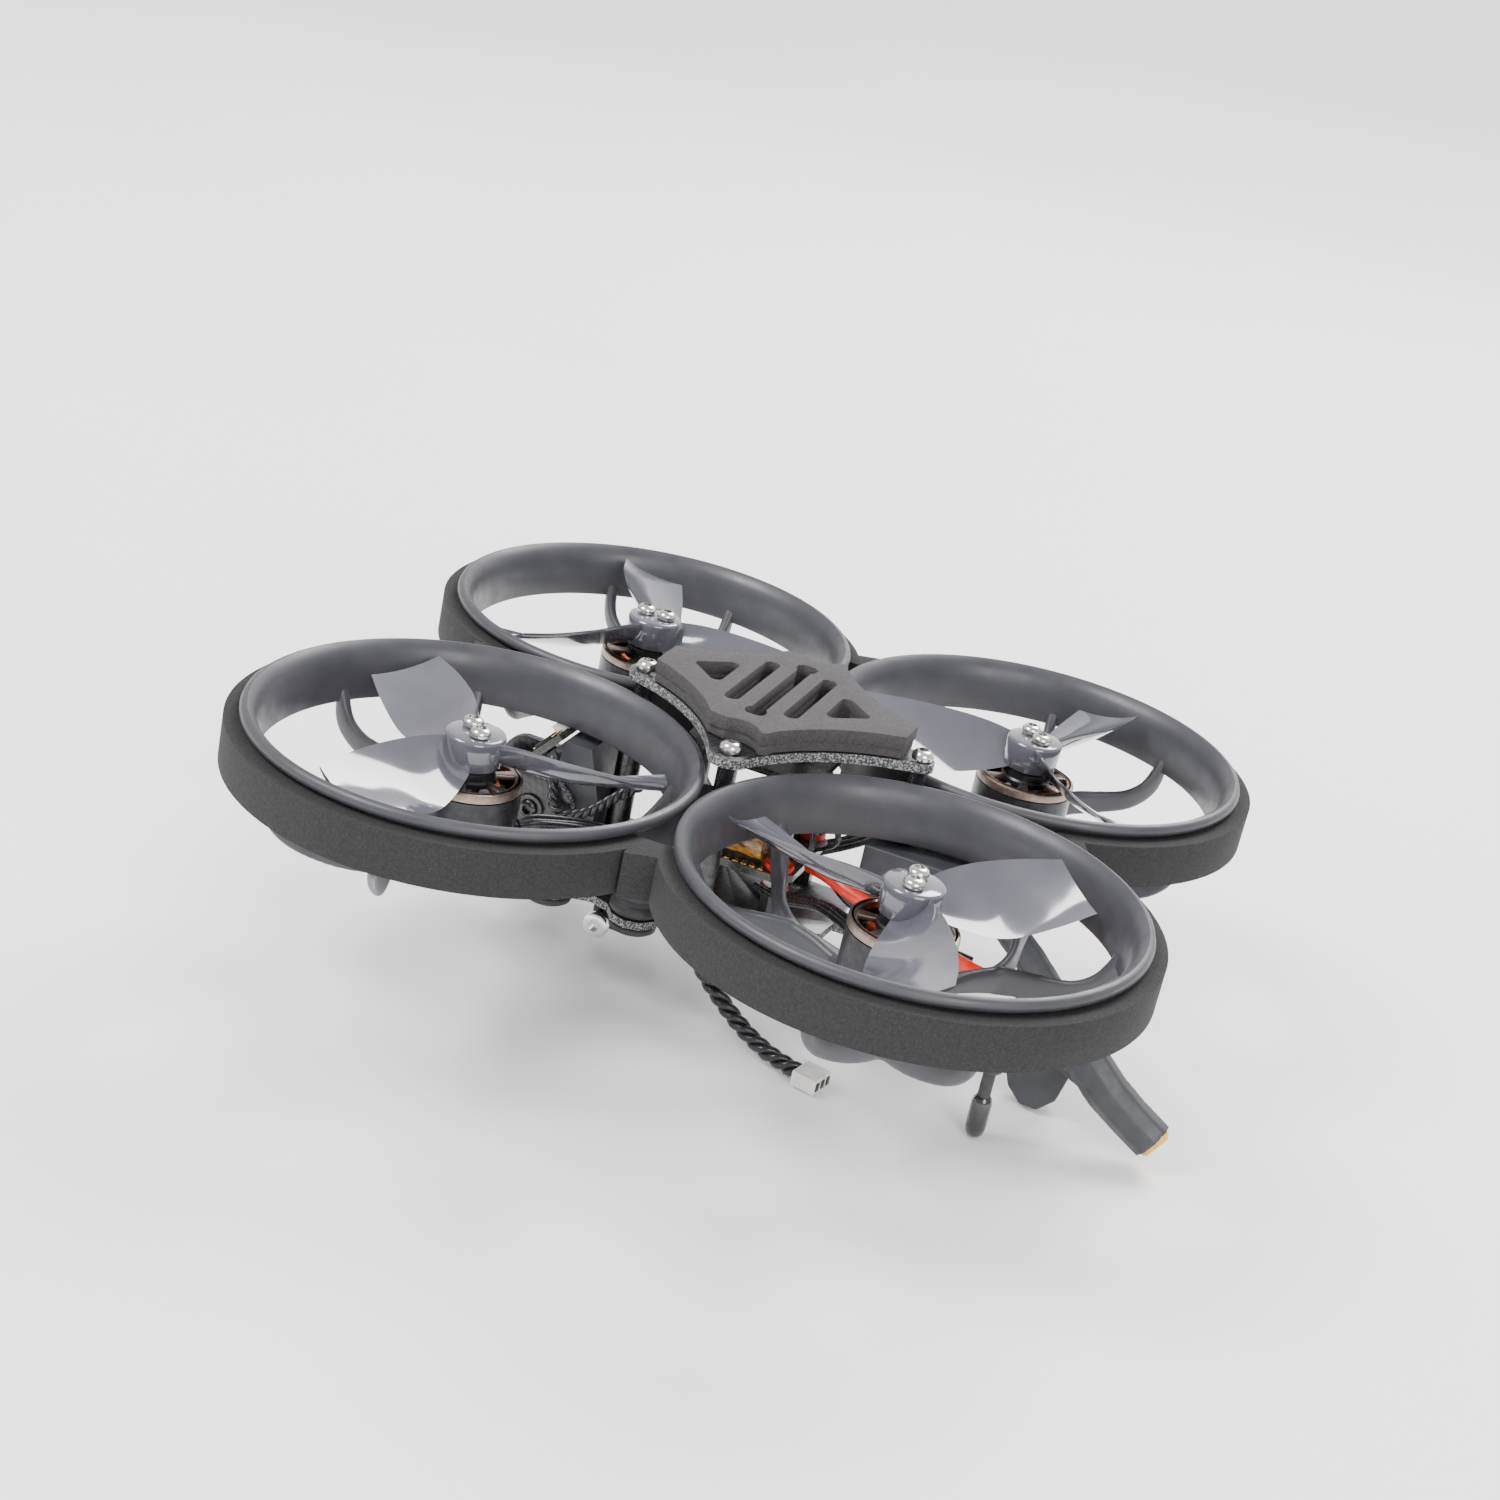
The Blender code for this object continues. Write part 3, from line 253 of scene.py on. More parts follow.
def film_material(name):
    """Clear amber film over dark foil, with creases."""
    s = Shader(name, 0.12, 0.0, 1.0)
    creases = s.noise(420, 6, (1, 2.2, 1))
    s.colour(s.mix(s.spread(creases, 0.4, 0.62), (0.10, 0.025, 0.004), (0.55, 0.26, 0.04)))
    s.bump(creases, 0.0006)
    return s.material


def board_material(name):
    """A black circuit board with fine copper tracks and pads under the lacquer."""
    s = Shader(name, 0.35, 0.0, 0.5)
    voronoi = s.add("ShaderNodeTexVoronoi", feature="DISTANCE_TO_EDGE", distance="MANHATTAN")
    s.set(voronoi, "Vector", s.place)
    s.set(voronoi, "Scale", 620.0)
    tracks = s.spread(voronoi.outputs[0], 0.02, 0.05)
    base = s.mix(s.spread(s.noise(260), 0.4, 0.6), (0.010, 0.012, 0.011), (0.020, 0.023, 0.021))
    s.colour(s.mix(tracks, (0.07, 0.065, 0.05), base))
    s.bump(tracks, 0.00004)
    return s.material


DUCT = plain("duct plastic", (0.036, 0.036, 0.043), (0.044, 0.044, 0.052), 0.42, 160, 0.00002, 3200)
FOAM = foam_material("bumper foam", (0.010, 0.010, 0.011), (0.017, 0.016, 0.017), (0.050, 0.048, 0.050))
PAD = foam_material("pad foam", (0.045, 0.040, 0.044), (0.060, 0.054, 0.058), (0.10, 0.092, 0.097))
CARBON_Z = carbon_material("carbon plate", 2)
CARBON_X = carbon_material("carbon side plate", 0)
STEEL = metal("stainless steel", (0.62, 0.60, 0.58), (0.82, 0.81, 0.79), 0.16)
BLACK_STEEL = metal("blackened steel", (0.05, 0.05, 0.05), (0.09, 0.09, 0.09), 0.28)
BELL = plain("anodised bell", (0.030, 0.030, 0.034), (0.044, 0.044, 0.048), 0.30, 500, 0.00001, 5000, 0.7)
BRONZE = metal("bronze ring", (0.25, 0.19, 0.155), (0.36, 0.29, 0.245), 0.36)
POST = knurled("knurled post")
COPPER = metal("red enamelled wire", (0.32, 0.045, 0.022), (0.62, 0.14, 0.07), 0.28, 0.00004)
IRON = metal("laminations", (0.10, 0.10, 0.11), (0.20, 0.20, 0.21), 0.45)
SMOKE = plain("smoke polycarbonate", (0.078, 0.078, 0.096), (0.092, 0.092, 0.112), 0.11, 120, 0.0, 1, 0.0, 1.0)
SOFT = plain("soft black plastic", (0.030, 0.031, 0.037), (0.042, 0.043, 0.050), 0.48, 240, 0.00003, 2200)
RUBBER = plain("rubber", (0.022, 0.022, 0.024), (0.036, 0.036, 0.039), 0.55, 300, 0.00004, 2600)
BLACK = plain("black plastic", (0.010, 0.010, 0.011), (0.020, 0.020, 0.022), 0.30, 300, 0.00001, 3000)
GLOSS = plain("glossy black", (0.006, 0.006, 0.007), (0.012, 0.012, 0.013), 0.10, 500, 0.0005, 420, 0.0, 1.0)
BOARD = board_material("circuit board")
FILM = film_material("amber film")
RED = plain("red silicone", (0.62, 0.018, 0.006), (0.80, 0.035, 0.012), 0.33, 500, 0.00002, 3000)
WIRE = plain("black wire", (0.010, 0.010, 0.012), (0.022, 0.022, 0.025), 0.28, 600, 0.00001, 3000)
YELLOW = plain("yellow nylon", (0.78, 0.43, 0.02), (0.90, 0.55, 0.06), 0.42, 500, 0.00003, 2600)
WHITE = plain("white nylon", (0.66, 0.65, 0.60), (0.78, 0.77, 0.73), 0.40, 500, 0.00002, 2600)
GOLD = metal("gold plating", (0.72, 0.48, 0.14), (0.90, 0.66, 0.26), 0.22)
CHIP = plain("chip", (0.014, 0.014, 0.015), (0.026, 0.026, 0.028), 0.5, 1200, 0.00002, 5000)


def lens_material():
    s = Shader("lens glass", 0.03, 0.0, 1.0)
    s.colour(s.mix(s.spread(s.noise(500), 0.3, 0.7), (0.010, 0.006, 0.020), (0.020, 0.012, 0.045)))
    s.bump(s.noise(300, 2), 0.000004, 0.4)
    return s.material


LENS = lens_material()


# Shapes


def linked(name, data):
    """A new object, in the scene."""
    obj = bpy.data.objects.new(name, data)
    bpy.context.scene.collection.objects.link(obj)
    return obj


def new_object(name, mesh, *materials, sharp=35):
    """A finished piece: its materials, and shading that is smooth but for edges sharper than some degrees."""
    obj = linked(name, mesh)
    for material in materials:
        mesh.materials.append(material)
    mesh.shade_smooth()
    mesh.set_sharp_from_angle(angle=math.radians(sharp))
    return obj


def merged(meshes):
    """One mesh with every given one in it, each keeping its faces' material numbers."""
    shape = bmesh.new()
    for mesh in meshes:
        shape.from_mesh(mesh)
    whole = bpy.data.meshes.new("merged")
    shape.to_mesh(whole)
    shape.free()
    return whole


def multi(name, parts, sharp=35):
    """One object from (mesh, material) pairs."""
    materials = list(dict.fromkeys(material for _, material in parts))
    meshes = []
    for mesh, material in parts:
        copy = mesh.copy()
        copy.polygons.foreach_set("material_index", [materials.index(material)] * len(copy.polygons))
        meshes.append(copy)
    return new_object(name, merged(meshes), *materials, sharp=sharp)


def joined(name, meshes, material, sharp=35):
    """One object from several meshes of one material."""
    return new_object(name, merged(meshes), material, sharp=sharp)


def mesh_of(shape, name="shape"):
    mesh = bpy.data.meshes.new(name)
    bmesh.ops.recalc_face_normals(shape, faces=shape.faces)
    shape.to_mesh(mesh)
    shape.free()
    return mesh


def scaled(mesh, matrix):
    """The mesh through a matrix. A mirror keeps its faces outward."""
    mesh.transform(matrix)
    if matrix.determinant() < 0:
        mesh.flip_normals()
    return mesh


def turned(profile, steps=64):
    """(radius, height) points, closed into a loop, turned about z. Millimetres."""
    shape = bmesh.new()
    rings = []
    for radius, height in profile:
        if radius == 0:
            rings.append([shape.verts.new((0, 0, height * MM))])
            continue
        ring = []
        for i in range(steps):
            a = 2 * math.pi * i / steps
            ring.append(shape.verts.new((radius * math.cos(a) * MM, radius * math.sin(a) * MM, height * MM)))
        rings.append(ring)
    for first, second in zip(rings, rings[1:] + rings[:1]):
        for i in range(steps):
            j = (i + 1) % steps
            corners = [first[i % len(first)], first[j % len(first)]]
            corners += [second[j % len(second)], second[i % len(second)]]
            corners = list(dict.fromkeys(corners))
            if len(corners) > 2:
                shape.faces.new(corners)
    return mesh_of(shape)


def swept(sections):
    """A closed skin through a row of rings of points."""
    shape = bmesh.new()
    rings = [[shape.verts.new(point) for point in ring] for ring in sections]
    count = len(rings[0])
    for first, second in zip(rings, rings[1:]):
        for i in range(count):
            j = (i + 1) % count
            shape.faces.new((first[i], first[j], second[j], second[i]))
    shape.faces.new(rings[0])
    shape.faces.new(rings[-1])
    return mesh_of(shape)


def rounded(mesh, width, segments=2, angle=40):
    """The mesh with its sharp edges rounded."""
    obj = linked("rounding", mesh)
    bevel = obj.modifiers.new("bevel", "BEVEL")
    bevel.width = width * MM
    bevel.segments = segments
    bevel.limit_method = "ANGLE"
    bevel.angle_limit = math.radians(angle)
    return baked(obj)


def baked(obj):
    bpy.context.view_layer.update()
    graph = bpy.context.evaluated_depsgraph_get()
    mesh = bpy.data.meshes.new_from_object(obj.evaluated_get(graph))
    bpy.data.objects.remove(obj, do_unlink=True)
    return mesh


def flat(outlines, bottom, top, axis="Z", edge=0.0):
    """A plate with holes, as in the CAD model, in millimetres, with its edges rounded."""
    curve = bpy.data.curves.new("outline", "CURVE")
    curve.dimensions = "2D"
    curve.fill_mode = "BOTH"
    curve.extrude = (top - bottom) / 2 * MM
    for outline in outlines:
        spline = curve.splines.new("POLY")
        spline.points.add(len(outline) - 1)
        for point, (u, v) in zip(spline.points, outline):
            point.co = (u * MM, v * MM, 0, 1)
        spline.use_cyclic_u = True
    mesh = baked(linked("outline", curve))
    shape = bmesh.new()
    shape.from_mesh(mesh)
    bmesh.ops.remove_doubles(shape, verts=shape.verts, dist=0.002 * MM)
    bmesh.ops.dissolve_limit(shape, angle_limit=0.01, verts=shape.verts, edges=shape.edges)
    shape.to_mesh(mesh)
    shape.free()
    mesh.transform(Matrix.Translation((0, 0, (top + bottom) / 2 * MM)))
    if axis == "X":
        mesh.transform(Matrix(((0, 0, 1, 0), (1, 0, 0, 0), (0, 1, 0, 0), (0, 0, 0, 1))))
    return rounded(mesh, edge) if edge else mesh


def block(size, edge=0.15):
    shape = bmesh.new()
    bmesh.ops.create_cube(shape, size=1.0)
    bmesh.ops.scale(shape, vec=[side * MM for side in size], verts=shape.verts)
    return rounded(mesh_of(shape), edge)


def arc(centre, radius, start, end, steps):
    points = []
    for i in range(steps + 1):
        a = math.radians(start + (end - start) * i / steps)
        points.append((centre[0] + radius * math.cos(a), centre[1] + radius * math.sin(a)))
    return points


def circle(centre, radius, steps=32):
    return arc(centre, radius, 0, 360, steps)[:-1]


def angle_to(start, end):
    return math.degrees(math.atan2(end[1] - start[1], end[0] - start[0]))


def smooth_points(points, count):
    """Points on a smooth curve through the given ones."""
    points = [Vector(point) for point in points]
    ends = [2 * points[0] - points[1], *points, 2 * points[-1] - points[-2]]
    route = []
    for a, b, c, d in zip(ends, ends[1:], ends[2:], ends[3:]):
        for step in range(count):
            t = step / count
            cubic = (3 * b - a - 3 * c + d) * t**3 + (2 * a - 5 * b + 4 * c - d) * t**2 + (c - a) * t
            route.append((cubic + 2 * b) / 2)
    return [*route, points[-1]]


def strands(name, routes, radius, material, body="frame"):
    """Round wires, one along each row of points, as one piece."""
    curve = bpy.data.curves.new(name, "CURVE")
    curve.dimensions = "3D"
    curve.bevel_depth = radius * MM
    curve.bevel_resolution = 4
    curve.use_fill_caps = True
    for route in routes:
        spline = curve.splines.new("POLY")
        spline.points.add(len(route) - 1)
        for point, place in zip(spline.points, route):
            point.co = (*at(*place), 1)
    piece = new_object(name, baked(linked(name, curve)), material, sharp=60)
    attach(piece, body)
    return piece


def twisted(name, points, radius, wires, pitch, material, body="frame", count=24):
    """Several wires twisted round one route."""
    route = smooth_points(points, count)
    offset = radius if wires == 2 else radius * 1.155
    tracks = [[] for _ in range(wires)]
    length = 0.0
    for i, place in enumerate(route):
        ahead = (route[min(i + 1, len(route) - 1)] - route[max(i - 1, 0)]).normalized()
        side = ahead.cross(Vector((0, 0, 1))).normalized()
        up = side.cross(ahead)
        length += (place - route[i - 1]).length if i else 0.0
        for k, track in enumerate(tracks):
            a = 2 * math.pi * (length / pitch + k / wires)
            track.append(place + (side * math.cos(a) + up * math.sin(a)) * offset)
    return strands(name, tracks, radius, material, body)


def put(obj, node, body="frame", place=None):
    """Sets a piece where it belongs, in the place of a CAD node, which it hides, and fixes it to its body."""
    if place is not None:
        obj.location = place
    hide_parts(node)
    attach(obj, body)
    return obj


def cover(node, material, edge=0.0):
    """Gives a CAD node that is shown as it is its finish, and rounds its edges."""
    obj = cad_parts[node]
    obj.data.materials.clear()
    obj.data.materials.append(material)
    if edge:
        bevel = obj.modifiers.new("edges", "BEVEL")
        bevel.width = edge * MM
        bevel.segments = 2
        bevel.limit_method = "ANGLE"
        bevel.angle_limit = math.radians(35)


def moved(mesh, x=0.0, y=0.0, z=0.0, turn=0.0, axis="Z"):
    """A copy of the mesh, turned by some degrees and then shifted by millimetres."""
    copy = mesh.copy()
    turned_by = Matrix.Rotation(math.radians(turn), 4, axis)
    return scaled(copy, Matrix.Translation((x * MM, y * MM, z * MM)) @ turned_by)


def cut(mesh, cutter):
    """The mesh less a cutter."""
    obj, tool = linked("cut", mesh), linked("cutter", cutter)
    boolean = obj.modifiers.new("cut", "BOOLEAN")
    boolean.operation = "DIFFERENCE"
    boolean.solver = "EXACT"
    boolean.object = tool
    result = baked(obj)
    bpy.data.objects.remove(tool, do_unlink=True)
    return result


def melted(meshes, voxel, smoothing):
    """Meshes fused into one skin whose inner corners are filleted."""
    obj = linked("melted", merged(meshes))
    remesh = obj.modifiers.new("skin", "REMESH")
    remesh.mode = "VOXEL"
    remesh.voxel_size = voxel * MM
    smooth = obj.modifiers.new("soft", "SMOOTH")
    smooth.factor = 0.5
    smooth.iterations = smoothing
    return baked(obj)


# Camera


def add_camera_view():
    camera = linked("camera", bpy.data.cameras.new("camera"))
    camera.data.lens = LENS_MM
    camera.data.sensor_width = SENSOR_MM
    camera.data.clip_start = 0.01
    right, up = Vector(CAMERA_RIGHT), Vector(CAMERA_UP)
    turn = Matrix((right, up, right.cross(up))).transposed().to_4x4()
    camera.matrix_world = Matrix.Translation(CAMERA_PLACE) @ turn
    bpy.context.scene.camera = camera


# The free lead: three wires twisted together, with a white plug on the surface

LEAD_ROUTE = [
    (15.0, -8.6, -38.6), (15.2, -6.6, -40.2), (15.6, -3.4, -43.6), (16.2, 0.4, -47.4), (17.0, 4.6, -51.0),
    (18.0, 9.2, -54.2), (19.0, 14.0, -56.8), (20.0, 18.6, -58.4), (21.0, 22.6, -59.0), (21.8, 26.2, -59.2),
]


def add_lead():
    lead = twisted("twisted_lead", LEAD_ROUTE, 0.85, 3, 9.0, WIRE)
    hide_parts("lead")
    path = [at(*place) for place in smooth_points(LEAD_ROUTE, 8)]
    end, before = Vector(LEAD_ROUTE[-1]), Vector(LEAD_ROUTE[-2])
    ahead = (end - before).normalized()
    turn = math.degrees(math.atan2(-ahead.x, ahead.y))
    housing = moved(block((6.2, 5.6, 3.3), 0.3), y=3.1)
    slots = [moved(block((1.2, 2.0, 1.9), 0.1), x=x, y=5.1) for x in (-2.0, 0.0, 2.0)]
    ribs = [moved(block((0.5, 4.4, 0.35), 0.1), x=x, y=2.8, z=1.55) for x in (-1.5, 1.5)]
    pieces = [(housing, WHITE), *((slot, CHIP) for slot in slots), *((rib, WHITE) for rib in ribs)]
    plug = multi("lead_connector", pieces)
    plug.rotation_euler.z = math.radians(turn)
    put(plug, "lead_plug", place=at(*end))


# Ducts


def strut_section(radius, angle, height, lean, half_width, half_height):
    a = math.radians(angle)
    outward = Vector((math.cos(a), math.sin(a), 0))
    across = Vector((-math.sin(a), math.cos(a), 0))
    slope = math.radians(lean)
    up = outward * math.sin(slope) + Vector((0, 0, math.cos(slope)))
    centre = outward * radius + Vector((0, 0, height))
    ring = []
    for k in range(16):
        t = 2 * math.pi * k / 16
        u, v = math.cos(t), math.sin(t)
        u, v = math.copysign(abs(u) ** 0.75, u), math.copysign(abs(v) ** 0.75, v)
        ring.append((centre + across * half_width * u + up * half_height * v) * MM)
    return ring


def between(stations, count):
    """The stations with smooth steps between them."""
    width = len(stations[0])
    ends = [[2 * a - b for a, b in zip(stations[0], stations[1])], *stations]
    ends.append([2 * a - b for a, b in zip(stations[-1], stations[-2])])
    rows = []
    for a, b, c, d in zip(ends, ends[1:], ends[2:], ends[3:]):
        for step in range(count):
            t = step / count
            row = []
            for i in range(width):
                cubic = (3 * b[i] - a[i] - 3 * c[i] + d[i]) * t**3
                square = (2 * a[i] - 5 * b[i] + 4 * c[i] - d[i]) * t**2
                row.append((cubic + square + (c[i] - a[i]) * t + 2 * b[i]) / 2)
            rows.append(row)
    return [*rows, list(stations[-1])]


def strut(arm_angle, side):
    """side 0 is the arm from the motor mount to the fork, and -1 and 1 its two branches."""
    if side == 0:
        # radius, height, lean, half width, half height, share of the fork's angle
        stations = [
            (9.0, -22.7, 0, 2.4, 1.4, 0), (13.0, -22.6, 0, 2.0, 1.8, 0), (18.0, -22.3, 0, 1.5, 2.4, 0),
            (24.2, -22.2, 0, 1.5, 2.9, 0),
        ]
    else:
        stations = [
            (22.4, -22.2, 0, 1.3, 3.1, 0.0), (29.0, -21.3, 8, 1.3, 2.8, 0.45), (34.0, -19.8, 22, 1.3, 2.6, 0.80),
            (37.4, -17.4, 45, 1.3, 2.5, 0.95), (39.6, -14.2, 68, 1.3, 2.1, 1.0), (41.0, -8.6, 85, 1.4, 0.7, 1.0),
        ]
    rows = between(stations, 5)
    angle = side * FORK_HALF_ANGLE
    rings = []
    for radius, height, lean, wide, tall, share in rows:
        rings.append(strut_section(radius, arm_angle + angle * share, height, -lean, wide, tall))
    return swept(rings)


def duct_mesh():
    """One duct without its lugs, for the rear left corner."""
    lip = [
        (42.9, 0.0), (43.5, -0.12), (44.0, -0.5), (44.25, -1.2), (44.2, -1.9), (43.7, -2.45), (42.6, -2.6),
        (42.3, -2.9), (42.3, -11.4), (42.0, -11.8), (40.4, -11.8), (40.1, -11.4), (40.1, -6.0), (40.35, -4.0),
        (40.9, -2.2), (41.8, -0.75),
    ]
    ring = turned(lip, 160)
    struts = [strut(angle, side) for angle in FORK_ANGLES for side in (-1, 0, 1)]
    holes = [circle((8.0 * math.cos(a), 8.0 * math.sin(a)), 1.4, 20) for a in (0.8, 2.37, 3.94, 5.51)]
    mount = flat([circle((0, 0), 12.3, 72), circle((0, 0), 3.0, 32), *holes], MOUNT_BOTTOM, MOUNT_TOP, edge=0.35)
    return [ring, melted(struts, 0.42, 5), mount]


def lug(centre, post, upper):
    top = LUG_TOP if upper else LUG_TOP - LUG_THICKNESS - GAP
    distance = math.dist(centre, post)
    tab = [(WALL_RADIUS - 1.1, -3.2), *arc((distance, 0), 3.5, -80, 80, 18), (WALL_RADIUS - 1.1, 3.2)]
    plate = flat([tab, circle((distance, 0), 1.7, 28)], top - LUG_THICKNESS, top, edge=0.25)
    return moved(plate, turn=angle_to(centre, post))


def add_ducts():
    meshes = duct_mesh()
    for name, (x_side, y_side, *_) in ROTORS.items():
        centre = (x_side * MOTOR, y_side * MOTOR)
        sides = [scaled(mesh.copy(), Matrix.Diagonal((x_side, y_side, 1, 1))) for mesh in meshes]
        end_post = FRONT_EAR if y_side < 0 else REAR_EAR
        side_post = (x_side * SIDE_EAR[0], 0)
        sides += [lug(centre, side_post, y_side < 0), lug(centre, end_post, x_side > 0)]
        duct = joined(f"moulded_duct_{name}", sides, DUCT, 40)
        put(duct, f"duct_{name}", place=at(*centre, 0))


# Bumper and plates


def quarters():
    """(turn in degrees, its cosine, its sine, the duct's centre there) for each of the four corners."""
    for quarter in range(4):
        turn = 90 * quarter
        c, s = round(math.cos(math.radians(turn))), round(math.sin(math.radians(turn)))
        yield turn, c, s, (MOTOR * (c - s), MOTOR * (s + c))


def ring_outline(radius):
    """Four arcs round the ducts, each meeting the next where the foam's inside turns its corner."""
    crossing = 60.0
    start = -math.degrees(math.acos((crossing - MOTOR) / radius))
    points = []
    for turn, _, _, centre in quarters():
        points += arc(centre, radius, start + turn, 90 - start + turn, 90)
    return points


def bumper_outline():
    """An arc round each duct, and a small hollow where two ducts meet."""
    hollow = MOTOR + math.sqrt((BUMPER_RADIUS + BUMPER_FILLET) ** 2 - MOTOR**2)
    start = angle_to((MOTOR, MOTOR), (hollow, 0))
    end = 90 - start
    points = []
    for turn, c, s, centre in quarters():
        points += arc(centre, BUMPER_RADIUS, start + turn, end + turn, 110)
        web = (-hollow * s, hollow * c)
        points += arc(web, BUMPER_FILLET, turn + end - 180, turn + 180 - end, 10)[1:-1]
    return points


def add_bumper():
    outlines = [bumper_outline(), ring_outline(WALL_RADIUS + 2 * GAP)]
    mesh = flat(outlines, WALL_BOTTOM, BUMPER_TOP, edge=0.55)
    for vert in mesh.vertices:
        roughen(vert, 0.10)
    bumper = new_object("cut_foam_bumper", mesh, FOAM, sharp=50)
    put(bumper, "foam_bumper", place=ORIGIN)


def roughen(vert, depth):
    """Pulls a point of cut foam a little inwards, unevenly."""
    wander = noise.noise(vert.co * 420) * 0.6 + noise.noise(vert.co * 1100) * 0.4
    vert.co.z -= depth * MM * (0.5 + 0.5 * wander)


def plate_outline(radius, steps):
    tips = (SIDE_EAR, REAR_EAR, (-SIDE_EAR[0], 0), FRONT_EAR)
    sides = ((1, 1), (-1, 1), (-1, -1), (1, -1))
    points = []
    for k in range(4):
        tip, after = tips[k], tips[(k + 1) % 4]
        centre = (sides[k][0] * MOTOR, sides[k][1] * MOTOR)
        following = sides[(k + 1) % 4]
        start, end = angle_to(centre, tip) % 360, angle_to(centre, after) % 360
        if end > start:
            end -= 360
        points += arc(centre, radius, start, end, steps)
        cap = math.dist(after, centre) - radius
        first = angle_to(after, centre) % 360
        last = angle_to(after, (following[0] * MOTOR, following[1] * MOTOR)) % 360
        if last < first:
            last += 360
        points += arc(after, cap, first, last, 14)[1:-1]
    return points


def strap_slot():
    upper = [(13.2, 1.5), (14.4, 2.2), (16.2, 2.2), (17.2, 1.2)]
    right = upper + [(x, -y) for x, y in reversed(upper)]
    return right + [(-x, -y) for x, y in right]


def long_slot(y):
    right = arc((11.6, y), 1.6, -90, 90, 14)
    return right + [(-x, 2 * y - v) for x, v in right]


def corner_hole(side):
    corners = arc((4.7, 12.6), 1.4, -90, 30, 8)
    corners += arc((0, 17.4), 1.4, 30, 150, 8)
    corners += arc((-4.7, 12.6), 1.4, 150, 270, 8)
    return [(x, side * y) for x, y in corners]


def pad_slots():
    return [strap_slot(), long_slot(-6.4), long_slot(6.2), corner_hole(1), corner_hole(-1)]


def pad_outline(inset):
    """As the plate, but cut back round the four screws."""
    radius = PLATE_ARC + inset
    notch = 4.9 + inset

    def arc_x(y, side):
        return MOTOR - math.sqrt(radius**2 - (y - side * MOTOR) ** 2)

    front, rear = (MOTOR, -MOTOR), (MOTOR, MOTOR)
    front_y, corner_y, lobe_y, rear_y = -25.3 + inset, -6.8 - inset, 6.6 + inset, 27.9 - inset
    start = angle_to(front, (arc_x(front_y, -1), front_y))
    end = angle_to(front, (arc_x(corner_y, -1), corner_y))
    half = arc(front, radius, start, end, 22)
    half += arc(SIDE_EAR, notch, 218, 118, 14)
    half += [(24.9 - inset, 4.9 + inset), (24.0 - inset, 6.2 + inset)]
    start = angle_to(rear, (arc_x(lobe_y, 1), lobe_y)) % 360
    end = angle_to(rear, (arc_x(rear_y, 1), rear_y)) % 360
    half += arc(rear, radius, start, end, 22)
    return half + [(-x, y) for x, y in reversed(half)]


def add_top():
    ears = (SIDE_EAR, (-SIDE_EAR[0], 0), FRONT_EAR, REAR_EAR)
    holes = [circle(ear, 1.25, 24) for ear in ears]
    plate = flat([plate_outline(PLATE_ARC, 36), *holes, *pad_slots()], PLATE_BOTTOM, PLATE_TOP, edge=0.12)
    top = new_object("woven_top_plate", plate, CARBON_Z, sharp=30)
    put(top, "top_plate", place=ORIGIN)
    layers = [
        flat([pad_outline(0.25), *pad_slots()], PLATE_TOP + GAP, 6.2, edge=0.25),
        flat([pad_outline(0.0), *pad_slots()], 6.3, PAD_TOP, edge=0.4),
    ]
    pad = joined("two_layer_pad", layers, PAD, 50)
    put(pad, "battery_pad", place=ORIGIN)


# Screws and posts


def hex_screw(radius, height, socket, end):
    """A button-head screw with its head's underside at z 0."""
    dome = []
    for step in range(9):
        a = math.radians(90 * step / 8)
        dome.append((radius * (0.34 + 0.66 * math.sin(a)), height * (0.3 + 0.7 * math.cos(a))))
    profile = [(0, height), *dome, (radius * 0.97, 0), (0.95, 0), (0.95, end), (0, end)]
    cutter = flat([circle((0, 0), socket, 6)], height * 0.25, height + 1)
    return cut(turned(profile, 40), cutter)


def post_mesh():
    """Knurled above the ducts' lugs, plain below."""
    knurl = [(1.3, 1.7), (1.5, 1.7), (1.75, 1.45), (1.75, -4.35), (1.5, -4.6), (1.3, -4.6)]
    foot = [(0, -9.3), (2.4, -9.3), (2.6, -9.5), (2.6, -34.1), (2.4, -34.3), (0, -34.3)]
    neck = [(0, -4.4), (1.4, -4.4), (1.4, -9.4), (0, -9.4)]
    return [(turned(knurl, 48), POST), (turned(neck, 32), BLACK_STEEL), (turned(foot, 32), BLACK_STEEL)]


def add_fasteners():
    ears = {"front": FRONT_EAR, "rear": REAR_EAR, "left": SIDE_EAR, "right": (-SIDE_EAR[0], 0)}
    screw = hex_screw(2.2, 1.9, 1.15, -7.4)
    for name, ear in ears.items():
        post = multi(f"knurled_post_{name}", post_mesh())
        put(post, f"post_{name}", place=at(*ear, 0))
        head = new_object(f"button_screw_{name}", screw.copy(), STEEL)
        put(head, f"frame_screw_{name}", place=at(*ear, PLATE_TOP + GAP))
        head.rotation_euler.z = len(name) * 0.4


# Motors


